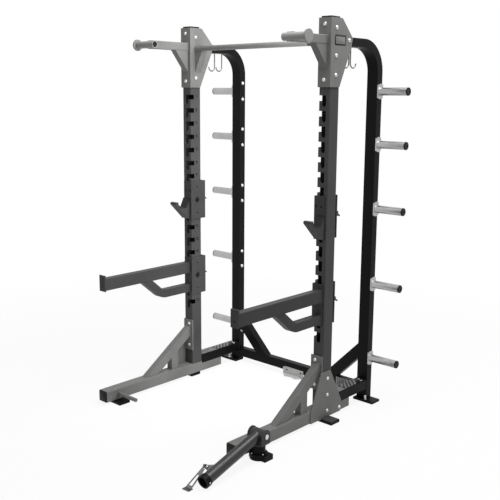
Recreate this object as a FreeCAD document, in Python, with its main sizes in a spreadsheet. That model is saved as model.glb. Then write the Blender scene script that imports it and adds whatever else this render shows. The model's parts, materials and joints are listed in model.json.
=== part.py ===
import FreeCAD, Part
import math
import os

import Sketcher

# Half rack: two slotted uprights on base rails, a rear frame with weight horns, a pull-up bar,
# hooks and safety arms that lift in the slots, and a swivelling bar sleeve beside the right rail.
# X points to the right, Y to the rear, Z up. The origin is on the floor, below the middle of the
# whole object. Places along Y are worked out from the uprights' front face.

SIZES = {
    # uprights
    "upright_spacing": 1140.0,
    "upright_front": 304.0,
    "upright_width": 76.0,
    "upright_depth": 90.0,
    "upright_wall": 5.0,
    "upright_corner": 8.0,
    "upright_top": 2374.0,
    "cap_thickness": 9.0,
    "cap_inset": 1.5,
    # keyed slots in the uprights
    "slot_pitch": 87.0,
    "slot_count": 17.0,
    "slot_first": 541.0,
    "slot_width": 28.0,
    "slot_height": 64.0,
    "notch_height": 31.0,
    "notch_depth": 31.0,
    # base
    "foot_thickness": 18.0,
    "rail_width": 76.0,
    "rail_height": 73.0,
    "rail_reach": 745.0,
    "rail_wall": 4.0,
    "rail_corner": 6.0,
    "rail_cap": 6.0,
    "stub_height": 57.0,
    "stub_end": 283.0,
    "foot_depth": 82.0,
    "foot_reach": 83.0,
    "foot_lead": 10.2,
    "rear_foot_lead": 63.0,
    "front_foot_setback": 95.0,
    "front_foot_reach": 58.0,
    "peg_radius": 12.5,
    "peg_length": 172.0,
    "peg_height": 57.0,
    # front braces
    "brace_plate_height": 216.0,
    "brace_plate_base": 196.0,
    "brace_plate_thickness": 8.0,
    "brace_plate_overhang": 8.0,
    "brace_width": 46.0,
    "brace_depth": 58.0,
    "brace_wall": 4.0,
    "brace_top": 368.0,
    "brace_reach": 408.0,
    "strut_place": 153.0,
    "strut_depth": 58.0,
    # gussets at the foot of the uprights
    "plate_thickness": 6.0,
    "gusset_front": 112.0,
    "gusset_rear": 188.0,
    "gusset_top": 313.0,
    "gusset_shoulder": 18.0,
    "gusset_corner": 14.0,
    # rear frame
    "post_depth": 50.0,
    "post_front": 475.0,
    "post_bend": 165.0,
    "post_wall": 4.0,
    "top_tube_drop": 124.0,
    "leg_height": 64.0,
    "cross_base": 36.0,
    "cross_height": 64.0,
    "corner_brace_leg": 271.0,
    "corner_brace_depth": 72.0,
    "rear_foot_thickness": 15.0,
    "rear_foot_length": 149.0,
    # weight horns
    "horn_length": 198.0,
    "horn_radius": 24.5,
    "horn_flange": 46.0,
    "horn_flange_thickness": 8.0,
    "horn_cap_radius": 24.5,
    "horn_cap_thickness": 8.0,
    "horn_bolt_pitch": 110.0,
    "horn_lift": 15.8,
    # top brackets, pull-up bar and grips
    "bracket_height": 380.0,
    "bracket_tail": 200.0,
    "bracket_shoulder": 98.0,
    "bracket_heel": 82.0,
    "bracket_knee": 186.0,
    "bracket_knee_height": 221.0,
    "bracket_tail_height": 276.0,
    "bracket_corner": 26.0,
    "recess_length": 107.0,
    "recess_height": 62.0,
    "recess_depth": 2.0,
    "recess_place": 28.0,
    "bar_radius": 17.0,
    "bar_drop": 131.0,
    "arm_width": 50.0,
    "arm_height": 50.0,
    "arm_wall": 4.0,
    "arm_drop": 120.0,
    "grip_reach": 306.0,
    "grip_radius": 22.0,
    "grip_wall": 4.0,
    "grip_inner": 45.0,
    "grip_outer": 118.0,
    "grip_flange_radius": 35.0,
    "grip_flange_thickness": 10.0,
    "cope_gap": 0.15,
    "arm_wedge_reach": 107.0,
    "arm_wedge_width": 46.0,
    "bar_wedge_reach": 80.0,
    "bar_wedge_width": 48.0,
    "bar_wedge_setback": 61.0,
    "wedge_drop": 134.0,
    "tail_bolt_place": 166.0,
    "tail_bolt_rise": 5.0,
    # hook and arm carriages
    "carriage_gap": 1.0,
    "carriage_thickness": 8.0,
    "carriage_height": 256.0,
    "carriage_offset": 3.0,
    "carriage_rear": 22.0,
    "carriage_front_width": 72.0,
    "key_clearance": 0.3,
    "key_depth": 24.0,
    "window_width": 46.0,
    "window_height": 52.0,
    "hook_slot_count": 9.0,
    "arm_slot_count": 3.0,
    # hook cup
    "cup_width": 56.0,
    "cup_reach": 130.0,
    "cup_lip_height": 122.0,
    "cup_nose_height": 108.0,
    "cup_floor_height": 78.0,
    "cup_lip_thickness": 14.0,
    "cup_back_height": 126.0,
    "liner_thickness": 8.0,
    # latches
    "latch_width": 26.0,
    "latch_pin_radius": 4.0,
    "latch_pin_clearance": 0.05,
    "latch_head_radius": 9.0,
    "latch_ear_thickness": 5.0,
    "latch_side_gap": 0.4,
    "latch_tab": 26.0,
    "latch_reach": 37.0,
    "latch_stand": 11.0,
    "latch_height": 20.0,
    # safety arms
    "safety_reach": 720.0,
    "safety_height": 76.0,
    "safety_width": 50.0,
    "safety_wall": 4.0,
    "safety_base": 146.0,
    "stop_thickness": 8.0,
    "stop_height": 102.0,
    "stop_width": 56.0,
    "tie_height": 54.0,
    "tie_width": 46.0,
    "tie_base": 14.0,
    "tie_bend": 95.0,
    "tie_straight": 220.0,
    "tie_slope": 40.0,
    # pivoting bar sleeve
    "outrigger_length": 119.0,
    "outrigger_height": 31.0,
    "outrigger_depth": 66.0,
    "outrigger_setback": 128.0,
    "pivot_side": 56.0,
    "pivot_setback": 113.0,
    "turntable_radius": 50.0,
    "turntable_thickness": 8.0,
    "turntable_base": 6.0,
    "neck_radius": 38.0,
    "neck_drop": 54.7,
    "yoke_clearance": 0.3,
    "yoke_plate": 6.3,
    "yoke_gap": 82.0,
    "yoke_ear": 10.0,
    "yoke_ear_radius": 37.0,
    "yoke_base_radius": 44.0,
    "yoke_floor": 5.0,
    "pin_radius": 10.0,
    "pin_clearance": 0.05,
    "pin_head_radius": 14.0,
    "pin_head": 7.0,
    "barrel_radius": 34.0,
    "sleeve_length": 460.0,
    "sleeve_radius": 32.0,
    "sleeve_bore": 26.0,
    "sleeve_bore_start": 42.0,
    "sleeve_swing": 3.5,
    "sleeve_tilt": 13.2,
    "collar_radius": 36.0,
    "collar_length": 30.0,
    "lug_thickness": 7.0,
    "lug_place": 80.6,
    "lug_rise": 29.7,
    "lug_reach": 55.0,
    "lug_side": 50.0,
    "lug_angle": 31.0,
    "lug_radius": 10.0,
    "lug_bolt_radius": 5.0,
    "lug_bolt_head": 6.0,
    "lug_root": 40.0,
    "strap_thickness": 4.0,
    "strap_width": 16.0,
    "strap_length": 140.0,
    "strap_shoulder": 16.0,
    "strap_near": 41.0,
    "strap_far": 80.0,
    "strap_rim": 7.0,
    "strap_foot_depth": 32.0,
    "strap_foot_width": 46.0,
    "strap_foot_lap": 6.0,
    # small pieces
    "hook_plate_length": 95.0,
    "hook_plate_width": 34.0,
    "hook_plate_thickness": 4.0,
    "hook_left_setback": 235.0,
    "hook_right_setback": 249.0,
    "wire_radius": 4.0,
    "wire_drop": 88.0,
    "wire_curl": 27.0,
    "wire_aside": 5.6,
    "dock_width": 169.0,
    "dock_base": 12.0,
    "dock_height": 52.0,
    "dock_thickness": 5.0,
    "dock_shift": 1.5,
    "dock_lip": 46.0,
    "dock_dip": 13.0,
    "dock_flange": 14.0,
    "dock_hole_radius": 7.0,
    "dock_hole_place": 60.8,
    "pad_width": 109.0,
    "pad_height": 85.0,
    "pad_thickness": 6.0,
    "pad_setback": 111.5,
    "tread_thickness": 3.0,
    "tread_margin": 4.0,
    "tread_length": 150.0,
    "rib_width": 8.0,
    "rib_lean": 12.0,
    "leveller_radius": 8.0,
    "leveller_height": 26.0,
    "leveller_side": 43.0,
    "leveller_lead": 44.0,
    "bolt_radius": 12.0,
    "bolt_tip_radius": 7.0,
    "bolt_height": 7.0,
    "overrun": 5.0,
}

RIB_COUNT = 6
TREAD_RIB_COUNT = 7
# How far from parallel two directions may be and still count as parallel
PARALLEL_SHARE = 1e-6
# How far the liner's inner corners are cut back, as a share of its thickness
LINER_CORNER_SHARE = 0.4
# Where bolts, wires and horns sit, as shares of the height or length of what carries them;
# those of the horns count from the lowest horn up to the top tube
BRACKET_FRONT_SHARES = (0.095, 0.892)
BRACKET_INNER_SHARES = (0.158, 0.84)
BRACKET_OUTER_SHARES = (0.142, 0.545, 0.824)
GUSSET_BOLT_SHARES = (0.14, 0.49, 0.84)
BRACE_BOLT_SHARES = (0.16, 0.87)
HORN_SHARES = (0.0, 0.2494, 0.4942, 0.6972, 0.8595)
STRAP_WINDOW_SHARES = (0.42, 0.88)
# The wavy front edge of the dock bracket's lip: places along it, and how deep each is
DOCK_WAVE_SHARES = ((0.04, 0.3), (0.2, 1.0), (0.5, 0.7), (0.8, 1.0), (0.96, 0.3))
# Each wire hook's share of its plate's length, and the way along Y that it curls
WIRE_SHARES = {"left": ((0.205, -1), (0.926, -1)), "right": ((0.084, -1), (0.084, 1))}

doc = FreeCAD.newDocument("half_rack")
sheet = doc.addObject("Spreadsheet::Sheet", "sizes")
for row, (name, number) in enumerate(SIZES.items(), start=1):
    sheet.set(f"A{row}", name)
    sheet.set(f"B{row}", str(number))
    sheet.setAlias(f"B{row}", name)
doc.recompute()


class Size:
    """A number together with the sheet expression that gives it."""

    def __init__(self, value, text):
        self.value = value
        self.text = text

    def __add__(self, other):
        other = as_size(other)
        return Size(self.value + other.value, f"({self.text} + {other.text})")

    def __sub__(self, other):
        other = as_size(other)
        return Size(self.value - other.value, f"({self.text} - {other.text})")

    def __mul__(self, other):
        other = as_size(other)
        return Size(self.value * other.value, f"({self.text} * {other.text})")

    def __truediv__(self, other):
        other = as_size(other)
        return Size(self.value / other.value, f"({self.text} / {other.text})")

    def __neg__(self):
        return Size(-self.value, f"(0 - {self.text})")

    def __radd__(self, other):
        return as_size(other) + self

    def __rsub__(self, other):
        return as_size(other) - self

    def __rmul__(self, other):
        return as_size(other) * self


def as_size(number):
    if isinstance(number, Size):
        return number
    return Size(float(number), f"({float(number)})")


class Named:
    """The sheet's cells, read by name."""

    def __getattr__(self, name):
        return Size(float(sheet.get(name)), f"sizes.{name}")


def sine(angle):
    return Size(math.sin(math.radians(angle.value)), f"sin({angle.text})")


def cosine(angle):
    return Size(math.cos(math.radians(angle.value)), f"cos({angle.text})")


def arcsine(share):
    return Size(math.degrees(math.asin(share.value)), f"asin({share.text})")


def root(size):
    return Size(math.sqrt(size.value), f"sqrt({size.text})")


s = Named()
ZERO = as_size(0)
X_AXIS = FreeCAD.Vector(1, 0, 0)
Y_AXIS = FreeCAD.Vector(0, 1, 0)
Z_AXIS = FreeCAD.Vector(0, 0, 1)
SIDES = {"left": -1, "right": 1}
nodes = {}


def bind(item, path, size):
    item.setExpression(path, as_size(size).text)


def place(item, x=ZERO, y=ZERO, z=ZERO, axis=None, angle=ZERO):
    x, y, z, angle = (as_size(part) for part in (x, y, z, angle))
    item.Placement = FreeCAD.Placement(
        FreeCAD.Vector(x.value, y.value, z.value),
        FreeCAD.Rotation(axis or Z_AXIS, angle.value),
    )
    bind(item, "Placement.Base.x", x)
    bind(item, "Placement.Base.y", y)
    bind(item, "Placement.Base.z", z)
    if axis is not None:
        bind(item, "Placement.Rotation.Angle", angle)
    return item


def keep(item, label):
    item.Label = label
    nodes[label] = item
    return item


def box(name, length, width, height, x, y, z):
    item = doc.addObject("Part::Box", name)
    bind(item, "Length", length)
    bind(item, "Width", width)
    bind(item, "Height", height)
    return place(item, x, y, z)


def cylinder(name, radius, height, x, y, z, along="Z"):
    item = doc.addObject("Part::Cylinder", name)
    bind(item, "Radius", radius)
    bind(item, "Height", height)
    turns = {"X": (Y_AXIS, 90), "Y": (X_AXIS, -90), "Z": (Z_AXIS, 0)}
    axis, angle = turns[along]
    return place(item, x, y, z, axis, as_size(angle))


def cut(name, base, *tools):
    item = doc.addObject("Part::Cut", name)
    item.Base = base
    item.Tool = tools[0] if len(tools) == 1 else fuse(f"{name}_tools", *tools)
    return item


def fuse(name, *shapes):
    item = doc.addObject("Part::MultiFuse", name)
    item.Shapes = list(shapes)
    return item


def group(name, shapes):
    item = doc.addObject("Part::Compound", name)
    item.Links = list(shapes)
    return item


def new_body(name):
    return doc.addObject("PartDesign::Body", name)


def origin_part(body, role):
    return next(part for part in body.Origin.OriginFeatures if part.Role == role)


def outline(body, plane, points):
    """A closed outline on one of the body's own planes, each corner at its named place."""
    sketch = body.newObject("Sketcher::SketchObject", f"{body.Name}_outline")
    sketch.AttachmentSupport = (origin_part(body, f"{plane}_Plane"), [""])
    sketch.MapMode = "FlatFace"
    corners = [(as_size(across), as_size(up)) for across, up in points]
    spots = [FreeCAD.Vector(across.value, up.value, 0) for across, up in corners]
    for index, spot in enumerate(spots):
        sketch.addGeometry(Part.LineSegment(spot, spots[(index + 1) % len(spots)]))
    for index in range(len(spots)):
        following = (index + 1) % len(spots)
        sketch.addConstraint(Sketcher.Constraint("Coincident", index, 2, following, 1))
    for index, corner in enumerate(corners):
        for kind, size in zip(("DistanceX", "DistanceY"), corner):
            number = sketch.addConstraint(
                Sketcher.Constraint(kind, -1, 1, index, 1, size.value)
            )
            bind(sketch, f"Constraints[{number}]", size)
    return sketch


def circle(body, plane, radius, across=ZERO, up=ZERO):
    """A circle on one of the body's own planes."""
    sketch = body.newObject("Sketcher::SketchObject", f"{body.Name}_circle")
    sketch.AttachmentSupport = (origin_part(body, f"{plane}_Plane"), [""])
    sketch.MapMode = "FlatFace"
    radius, across, up = as_size(radius), as_size(across), as_size(up)
    centre = FreeCAD.Vector(across.value, up.value, 0)
    sketch.addGeometry(Part.Circle(centre, Z_AXIS, radius.value))
    rules = (
        (Sketcher.Constraint("DistanceX", -1, 1, 0, 3, across.value), across),
        (Sketcher.Constraint("DistanceY", -1, 1, 0, 3, up.value), up),
        (Sketcher.Constraint("Radius", 0, radius.value), radius),
    )
    for rule, size in rules:
        number = sketch.addConstraint(rule)
        bind(sketch, f"Constraints[{number}]", size)
    return sketch


def pad(body, sketch, length, backwards=False):
    item = body.newObject("PartDesign::Pad", f"{body.Name}_pad")
    item.Profile = sketch
    item.Reversed = backwards
    bind(item, "Length", length)
    return item


def pocket(body, sketch, length, backwards=False):
    """A cut that has to take something away."""
    doc.recompute()
    before = body.Shape.Volume
    item = body.newObject("PartDesign::Pocket", f"{body.Name}_pocket")
    item.Profile = sketch
    item.Reversed = backwards
    bind(item, "Length", length)
    doc.recompute()
    if not item.Shape.Volume < before:
        raise RuntimeError(f"{item.Name} cuts nothing")
    return item


def rounded(body, base, radius, wanted):
    """Rounds the edges of a feature that the test accepts, given their two ends."""
    doc.recompute()
    names = []
    for number, edge in enumerate(base.Shape.Edges, start=1):
        ends = [vertex.Point for vertex in edge.Vertexes]
        if len(ends) == 2 and wanted(*ends):
            names.append(f"Edge{number}")
    if not names:
        raise RuntimeError(f"{body.Name} has no edges to round")
    item = body.newObject("PartDesign::Fillet", f"{body.Name}_round")
    item.Base = (base, names)
    bind(item, "Radius", radius)
    return item


def runs_along(axis):
    """A test for the edges that run along one axis."""
    return lambda start, end: 1 - abs((end - start).normalize().dot(axis)) < PARALLEL_SHARE


def crosswise(start, end):
    return runs_along(X_AXIS)(start, end)


def rectangle(low_x, high_x, low_y, high_y):
    return ((low_x, low_y), (high_x, low_y), (high_x, high_y), (low_x, high_y))


def square_tube(name, width, height, wall, corner, length):
    """A box tube that runs up from its own origin, centred on it."""
    body = new_body(name)
    outer = outline(body, "XY", rectangle(-width / 2, width / 2, -height / 2, height / 2))
    solid = pad(body, outer, length)
    rounded(body, solid, corner, runs_along(Z_AXIS))
    across = width / 2 - wall
    up = height / 2 - wall
    inner = outline(body, "XY", rectangle(-across, across, -up, up))
    pocket(body, inner, length, backwards=True)
    return body


def plate(name, plane, points, thickness, backwards=False):
    """A flat plate of the given outline, from one of its own planes."""
    body = new_body(name)
    pad(body, outline(body, plane, points), thickness, backwards)
    return body


# Places that several pieces share
front = s.upright_front
rear = front + s.upright_depth
middle = front + s.upright_depth / 2
rail_base = s.foot_thickness
rail_top = rail_base + s.rail_height
half_upright = s.upright_width / 2
post_front = front + s.post_front
post_rear = post_front + s.post_depth
post_middle = post_front + s.post_depth / 2
post_reach = (s.upright_spacing - s.upright_width) / 2
top_tube_height = s.upright_top - s.top_tube_drop
bracket_base = s.upright_top - s.bracket_height
bar_height = s.upright_top - s.bar_drop
arm_centre = s.upright_top - s.arm_drop
rail_front = front - s.rail_reach
cross_top = s.cross_base + s.cross_height
brace_face = s.corner_brace_depth * root(as_size(2))


def centre_of(side):
    return s.upright_spacing / 2 * SIDES[side]


def span(side, near, far):
    """Low edge and length along X between two distances from an upright's middle, outwards."""
    low, high = (near, far) if SIDES[side] > 0 else (-far, -near)
    return centre_of(side) + low, far - near


def make_upright(side):
    body = new_body(f"upright_{side}")
    box_outline = rectangle(-half_upright, half_upright, ZERO, s.upright_depth)
    height = s.upright_top - rail_top
    solid = pad(body, outline(body, "XY", box_outline), height)
    rounded(body, solid, s.upright_corner, runs_along(Z_AXIS))
    inside = half_upright - s.upright_wall
    hollow = rectangle(-inside, inside, s.upright_wall, s.upright_depth - s.upright_wall)
    pocket(body, outline(body, "XY", hollow), height, backwards=True)
    inwards = -SIDES[side]
    notch_top = s.slot_first + s.notch_height / 2 - rail_top
    low = notch_top - s.slot_height + s.slot_width / 2
    reach = (half_upright + s.overrun) * inwards
    slot = outline(
        body, "XZ", rectangle(-s.slot_width / 2, s.slot_width / 2, low, notch_top)
    )
    upper = pocket(body, slot, s.upright_wall + s.overrun)
    foot = pocket(
        body, circle(body, "XZ", s.slot_width / 2, ZERO, low), s.upright_wall + s.overrun
    )
    edges = (ZERO, reach) if inwards > 0 else (reach, ZERO)
    side_notch = outline(
        body, "XZ", rectangle(edges[0], edges[1], notch_top - s.notch_height, notch_top)
    )
    notch = pocket(body, side_notch, s.notch_depth)
    pattern = body.newObject("PartDesign::LinearPattern", f"upright_{side}_slots")
    pattern.Originals = [upper, foot, notch]
    pattern.Direction = (origin_part(body, "Z_Axis"), [""])
    bind(pattern, "Length", s.slot_pitch * (s.slot_count - 1))
    bind(pattern, "Occurrences", s.slot_count)
    body.Tip = pattern
    place(body, centre_of(side), front, rail_top)
    return keep(body, f"upright_{side}")


def make_caps():
    caps = []
    for side in SIDES:
        low, width = span(side, -half_upright + s.cap_inset, half_upright - s.cap_inset)
        depth = s.upright_depth - 2 * s.cap_inset
        caps.append(
            box(f"cap_{side}", width, depth, s.cap_thickness,
                low, front + s.cap_inset, s.upright_top)
        )
    keep(group("upright_caps", caps), "upright_caps")


def make_top_bracket(side):
    """A folded channel round the front and both sides of the upright's head."""
    thick = s.plate_thickness
    top = s.upright_top
    profile = (
        (ZERO - thick, bracket_base),
        (s.bracket_heel, bracket_base),
        (s.bracket_knee, bracket_base + s.bracket_knee_height),
        (s.bracket_tail, bracket_base + s.bracket_tail_height),
        (s.bracket_shoulder, top),
        (ZERO - thick, top),
    )
    body = new_body(f"top_bracket_{side}")
    width = s.upright_width + 2 * thick
    half_way = (s.bracket_knee.value + s.bracket_tail.value) / 2
    solid = pad(body, outline(body, "YZ", profile), width)
    rounded(
        body, solid, s.bracket_corner,
        lambda start, end: crosswise(start, end) and start.y > half_way,
    )
    inside = rectangle(thick, thick + s.upright_width, ZERO, s.bracket_tail + s.overrun)
    room = outline(body, "XY", inside)
    pocket(body, room, top + s.overrun, backwards=True)
    outer_face = thick + s.upright_width if SIDES[side] > 0 else ZERO
    place(body, centre_of(side) - width / 2, front, ZERO)
    recess = box(
        f"recess_{side}", s.recess_depth, s.recess_length, s.recess_height,
        centre_of(side) - width / 2 + outer_face + (
            thick - s.recess_depth if SIDES[side] > 0 else ZERO
        ),
        front + s.recess_place,
        arm_centre - s.recess_height / 2 - s.recess_depth,
    )
    return keep(cut(f"bracket_{side}", body, recess), f"top_bracket_{side}")


def make_pull_up_bar():
    reach = s.upright_spacing - s.upright_width - 2 * s.plate_thickness
    bar = cylinder("bar", s.bar_radius, reach, -reach / 2, middle, bar_height, "X")
    keep(bar, "pull_up_bar")


def wedge(name, reach, drop, width):
    """A hollow wedge of folded plate: two triangular webs joined by a sloping flange."""
    thick = s.plate_thickness
    over = s.overrun
    outer = plate(f"{name}_outer", "XZ", ((ZERO, ZERO), (reach, ZERO), (ZERO, -drop)), width)
    place(outer, ZERO, width / 2, ZERO)
    room = (
        (-over, over),
        (reach - (thick - over) * reach / drop, over),
        (-over, thick - drop - over * drop / reach),
    )
    inner = plate(f"{name}_inner", "XZ", room, width - 2 * thick)
    place(inner, ZERO, width / 2 - thick, ZERO)
    return cut(name, outer, inner)


def make_pull_up_gussets():
    wedges = []
    top = bar_height + s.bar_radius
    drop = s.wedge_drop + 2 * s.bar_radius
    for side, way in SIDES.items():
        item = wedge(f"bar_wedge_{side}", s.bar_wedge_reach, drop, s.bar_wedge_width)
        start = centre_of(side) - way * (half_upright + s.plate_thickness)
        turn = as_size(180 if way > 0 else 0)
        place(item, start, front + s.bar_wedge_setback, top, Z_AXIS, turn)
        low = start if way < 0 else start - s.bar_wedge_reach
        cope = cylinder(f"bar_cope_{side}", s.bar_radius + s.cope_gap, s.bar_wedge_reach,
                        low, middle, bar_height, "X")
        wedges.append(cut(f"bar_wedge_coped_{side}", item, cope))
    keep(group("pull_up_gussets", wedges), "pull_up_gussets")


def make_grip_arm(side):
    length = s.grip_reach - s.plate_thickness
    tube = square_tube(f"grip_arm_tube_{side}", s.arm_width, s.arm_height, s.arm_wall,
                       s.arm_wall, length)
    place(tube, centre_of(side), front - s.plate_thickness, arm_centre, X_AXIS, as_size(90))
    cope = cylinder(
        f"grip_cope_{side}", s.grip_radius + s.cope_gap, s.arm_width + 2 * s.overrun,
        centre_of(side) - s.arm_width / 2 - s.overrun, front - s.grip_reach, arm_centre, "X",
    )
    keep(cut(f"grip_arm_cut_{side}", tube, cope), f"grip_arm_{side}")


def make_grip_gussets():
    wedges = []
    for side in SIDES:
        item = wedge(f"arm_wedge_{side}", s.arm_wedge_reach, s.wedge_drop, s.arm_wedge_width)
        place(item, centre_of(side), front - s.plate_thickness,
              arm_centre - s.arm_height / 2, Z_AXIS, as_size(-90))
        wedges.append(item)
    keep(group("grip_gussets", wedges), "grip_gussets")


def make_grip_handle(side):
    """A short crosswise grip with a round flange on its outer end."""
    low, length = span(side, -s.grip_inner, s.grip_outer)
    where = (front - s.grip_reach, arm_centre)
    tube = cylinder(f"grip_tube_{side}", s.grip_radius, length, low, *where, "X")
    flange_low, flange_length = span(side, s.grip_outer, s.grip_outer + s.grip_flange_thickness)
    flange = cylinder(f"grip_flange_{side}", s.grip_flange_radius, flange_length,
                      flange_low, *where, "X")
    bore_low, bore_length = span(side, -s.grip_inner - s.overrun, s.grip_outer - s.grip_wall)
    bore = cylinder(f"grip_bore_{side}", s.grip_radius - s.grip_wall, bore_length,
                    bore_low, *where, "X")
    handle = cut(f"grip_{side}", fuse(f"grip_solid_{side}", tube, flange), bore)
    keep(handle, f"grip_handle_{side}")


def pipe(body, profile, path, kind):
    item = body.newObject(f"PartDesign::{kind}Pipe", f"{body.Name}_{kind.lower()}")
    item.Profile = profile
    item.Spine = (path, [f"Edge{number + 1}" for number in range(path.GeometryCount)])
    return item


def bent_path(body, first, second, radius, slope):
    """Two straight runs in the body's XZ plane joined by an arc: along X, then turned up."""
    sketch = body.newObject("Sketcher::SketchObject", f"{body.Name}_path")
    sketch.AttachmentSupport = (origin_part(body, "XZ_Plane"), [""])
    sketch.MapMode = "FlatFace"
    angle = math.radians(slope.value)
    start = FreeCAD.Vector(0, 0, 0)
    bend = FreeCAD.Vector(first.value, 0, 0)
    centre = FreeCAD.Vector(first.value, radius.value, 0)
    turned = FreeCAD.Vector(
        first.value + radius.value * math.sin(angle),
        radius.value - radius.value * math.cos(angle), 0,
    )
    end = turned + FreeCAD.Vector(math.cos(angle), math.sin(angle), 0) * second.value
    sketch.addGeometry(Part.LineSegment(start, bend))
    whole = Part.Circle(centre, Z_AXIS, radius.value)
    sketch.addGeometry(Part.ArcOfCircle(whole, -math.pi / 2, -math.pi / 2 + angle))
    sketch.addGeometry(Part.LineSegment(turned, end))
    sketch.addConstraint(Sketcher.Constraint("Coincident", 0, 1, -1, 1))
    sketch.addConstraint(Sketcher.Constraint("Horizontal", 0))
    sketch.addConstraint(Sketcher.Constraint("Tangent", 0, 2, 1, 1))
    sketch.addConstraint(Sketcher.Constraint("Tangent", 1, 2, 2, 1))
    rules = (
        (Sketcher.Constraint("Distance", 0, first.value), first),
        (Sketcher.Constraint("Radius", 1, radius.value), radius),
        (Sketcher.Constraint("Distance", 2, second.value), second),
    )
    for rule, size in rules:
        number = sketch.addConstraint(rule)
        bind(sketch, f"Constraints[{number}]", size)
    number = sketch.addConstraint(Sketcher.Constraint("Angle", 0, 1, 2, 1, angle))
    sketch.setExpression(f"Constraints[{number}]", f"{slope.text} * 1deg")
    return sketch


def bent_tube(name, width, height, wall, first, second, radius, slope):
    """A box tube bent once, from its origin along X and then up by the slope."""
    body = new_body(name)
    path = bent_path(body, first, second, radius, slope)
    outer = outline(body, "YZ", rectangle(-width / 2, width / 2, -height / 2, height / 2))
    pipe(body, outer, path, "Additive")
    across = width / 2 - wall
    up = height / 2 - wall
    inner = outline(body, "YZ", rectangle(-across, across, -up, up))
    pipe(body, inner, path, "Subtractive")
    return body


def make_rear_post(side):
    """Runs back from the bracket, bends down and stands on the rear foot."""
    first = post_middle - s.post_bend - rear
    second = top_tube_height - s.post_bend - s.rear_foot_thickness
    body = bent_tube(f"rear_post_{side}", s.upright_width, s.post_depth, s.post_wall,
                     first, second, s.post_bend, as_size(90))
    body.Placement = FreeCAD.Placement(
        FreeCAD.Vector(centre_of(side).value, rear.value, top_tube_height.value),
        FreeCAD.Rotation(X_AXIS, 180) * FreeCAD.Rotation(Z_AXIS, -90),
    )
    bind(body, "Placement.Base.x", centre_of(side))
    bind(body, "Placement.Base.y", rear)
    bind(body, "Placement.Base.z", top_tube_height)
    keep(body, f"rear_post_{side}")


def make_rear_frame():
    reach = s.upright_spacing - s.upright_width
    tube = square_tube("cross_tube", s.cross_height, s.post_depth, s.post_wall, s.post_wall,
                       reach)
    place(tube, -reach / 2, post_middle, s.cross_base + s.cross_height / 2, Y_AXIS, as_size(90))
    keep(tube, "rear_cross_tube")
    braces = []
    for side, way in SIDES.items():
        leg = s.corner_brace_leg
        wall = (reach / 2) * way
        points = (
            (wall, cross_top + leg),
            (wall, cross_top + leg - brace_face),
            (wall - way * (leg - brace_face), cross_top),
            (wall - way * leg, cross_top),
        )
        brace = plate(f"corner_brace_{side}", "XZ", points, s.post_depth)
        place(brace, ZERO, post_rear, ZERO)
        braces.append(brace)
    keep(group("rear_corner_braces", braces), "rear_corner_braces")
    leg_base = rail_base + s.stub_height
    for side in SIDES:
        leg_tube = square_tube(f"leg_{side}", s.upright_width, s.leg_height, s.post_wall,
                               s.post_wall, post_front - rear)
        place(leg_tube, centre_of(side), post_front, leg_base + s.leg_height / 2,
              X_AXIS, as_size(90))
        keep(leg_tube, f"rear_leg_{side}")


def make_base():
    caps, stubs = [], []
    for side in SIDES:
        length = s.rail_reach + s.upright_depth
        rail = square_tube(f"rail_{side}", s.rail_width, s.rail_height, s.rail_wall,
                           s.rail_corner, length)
        place(rail, centre_of(side), rear, rail_base + s.rail_height / 2, X_AXIS, as_size(90))
        keep(rail, f"base_rail_{side}")
        low, width = span(side, -s.rail_width / 2 + s.cap_inset, s.rail_width / 2 - s.cap_inset)
        caps.append(
            box(f"rail_cap_{side}", width, s.rail_cap, s.rail_height - 2 * s.cap_inset,
                low, rail_front - s.rail_cap, rail_base + s.cap_inset)
        )
        stub = square_tube(f"stub_{side}", s.rail_width, s.stub_height, s.rail_wall,
                           s.rail_wall, s.stub_end - s.upright_depth)
        place(stub, centre_of(side), front + s.stub_end, rail_base + s.stub_height / 2,
              X_AXIS, as_size(90))
        stubs.append(stub)
    keep(group("rail_end_caps", caps), "rail_end_caps")
    keep(group("rear_stubs", stubs), "rear_stubs")


def make_feet():
    """Flat bars under the rails and the rear posts, each standing out to one side."""
    feet = []
    for side in SIDES:
        low, length = span(side, -s.rail_width / 2, s.rail_width / 2 + s.foot_reach)
        feet.append(
            box(f"middle_foot_{side}", length, s.foot_depth, s.foot_thickness,
                low, front - s.foot_lead, ZERO)
        )
        low, length = span(side, -half_upright, s.rear_foot_length - half_upright)
        feet.append(
            box(f"rear_foot_{side}", length, s.foot_depth, s.rear_foot_thickness,
                low, post_middle - s.rear_foot_lead, ZERO)
        )
    low, length = span("left", -s.rail_width / 2 - s.front_foot_reach, s.rail_width / 2)
    feet.append(
        box("front_foot", length, s.foot_depth, s.foot_thickness,
            low, rail_front + s.front_foot_setback - s.foot_depth / 2, ZERO)
    )
    keep(group("feet", feet), "feet")
    start = s.rail_width / 2 + s.peg_length
    low, length = span("left", -start, -s.rail_width / 2)
    peg = cylinder("peg", s.peg_radius, length, low, rail_front + s.front_foot_setback,
                   s.peg_height, "X")
    keep(peg, "band_peg")


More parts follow.
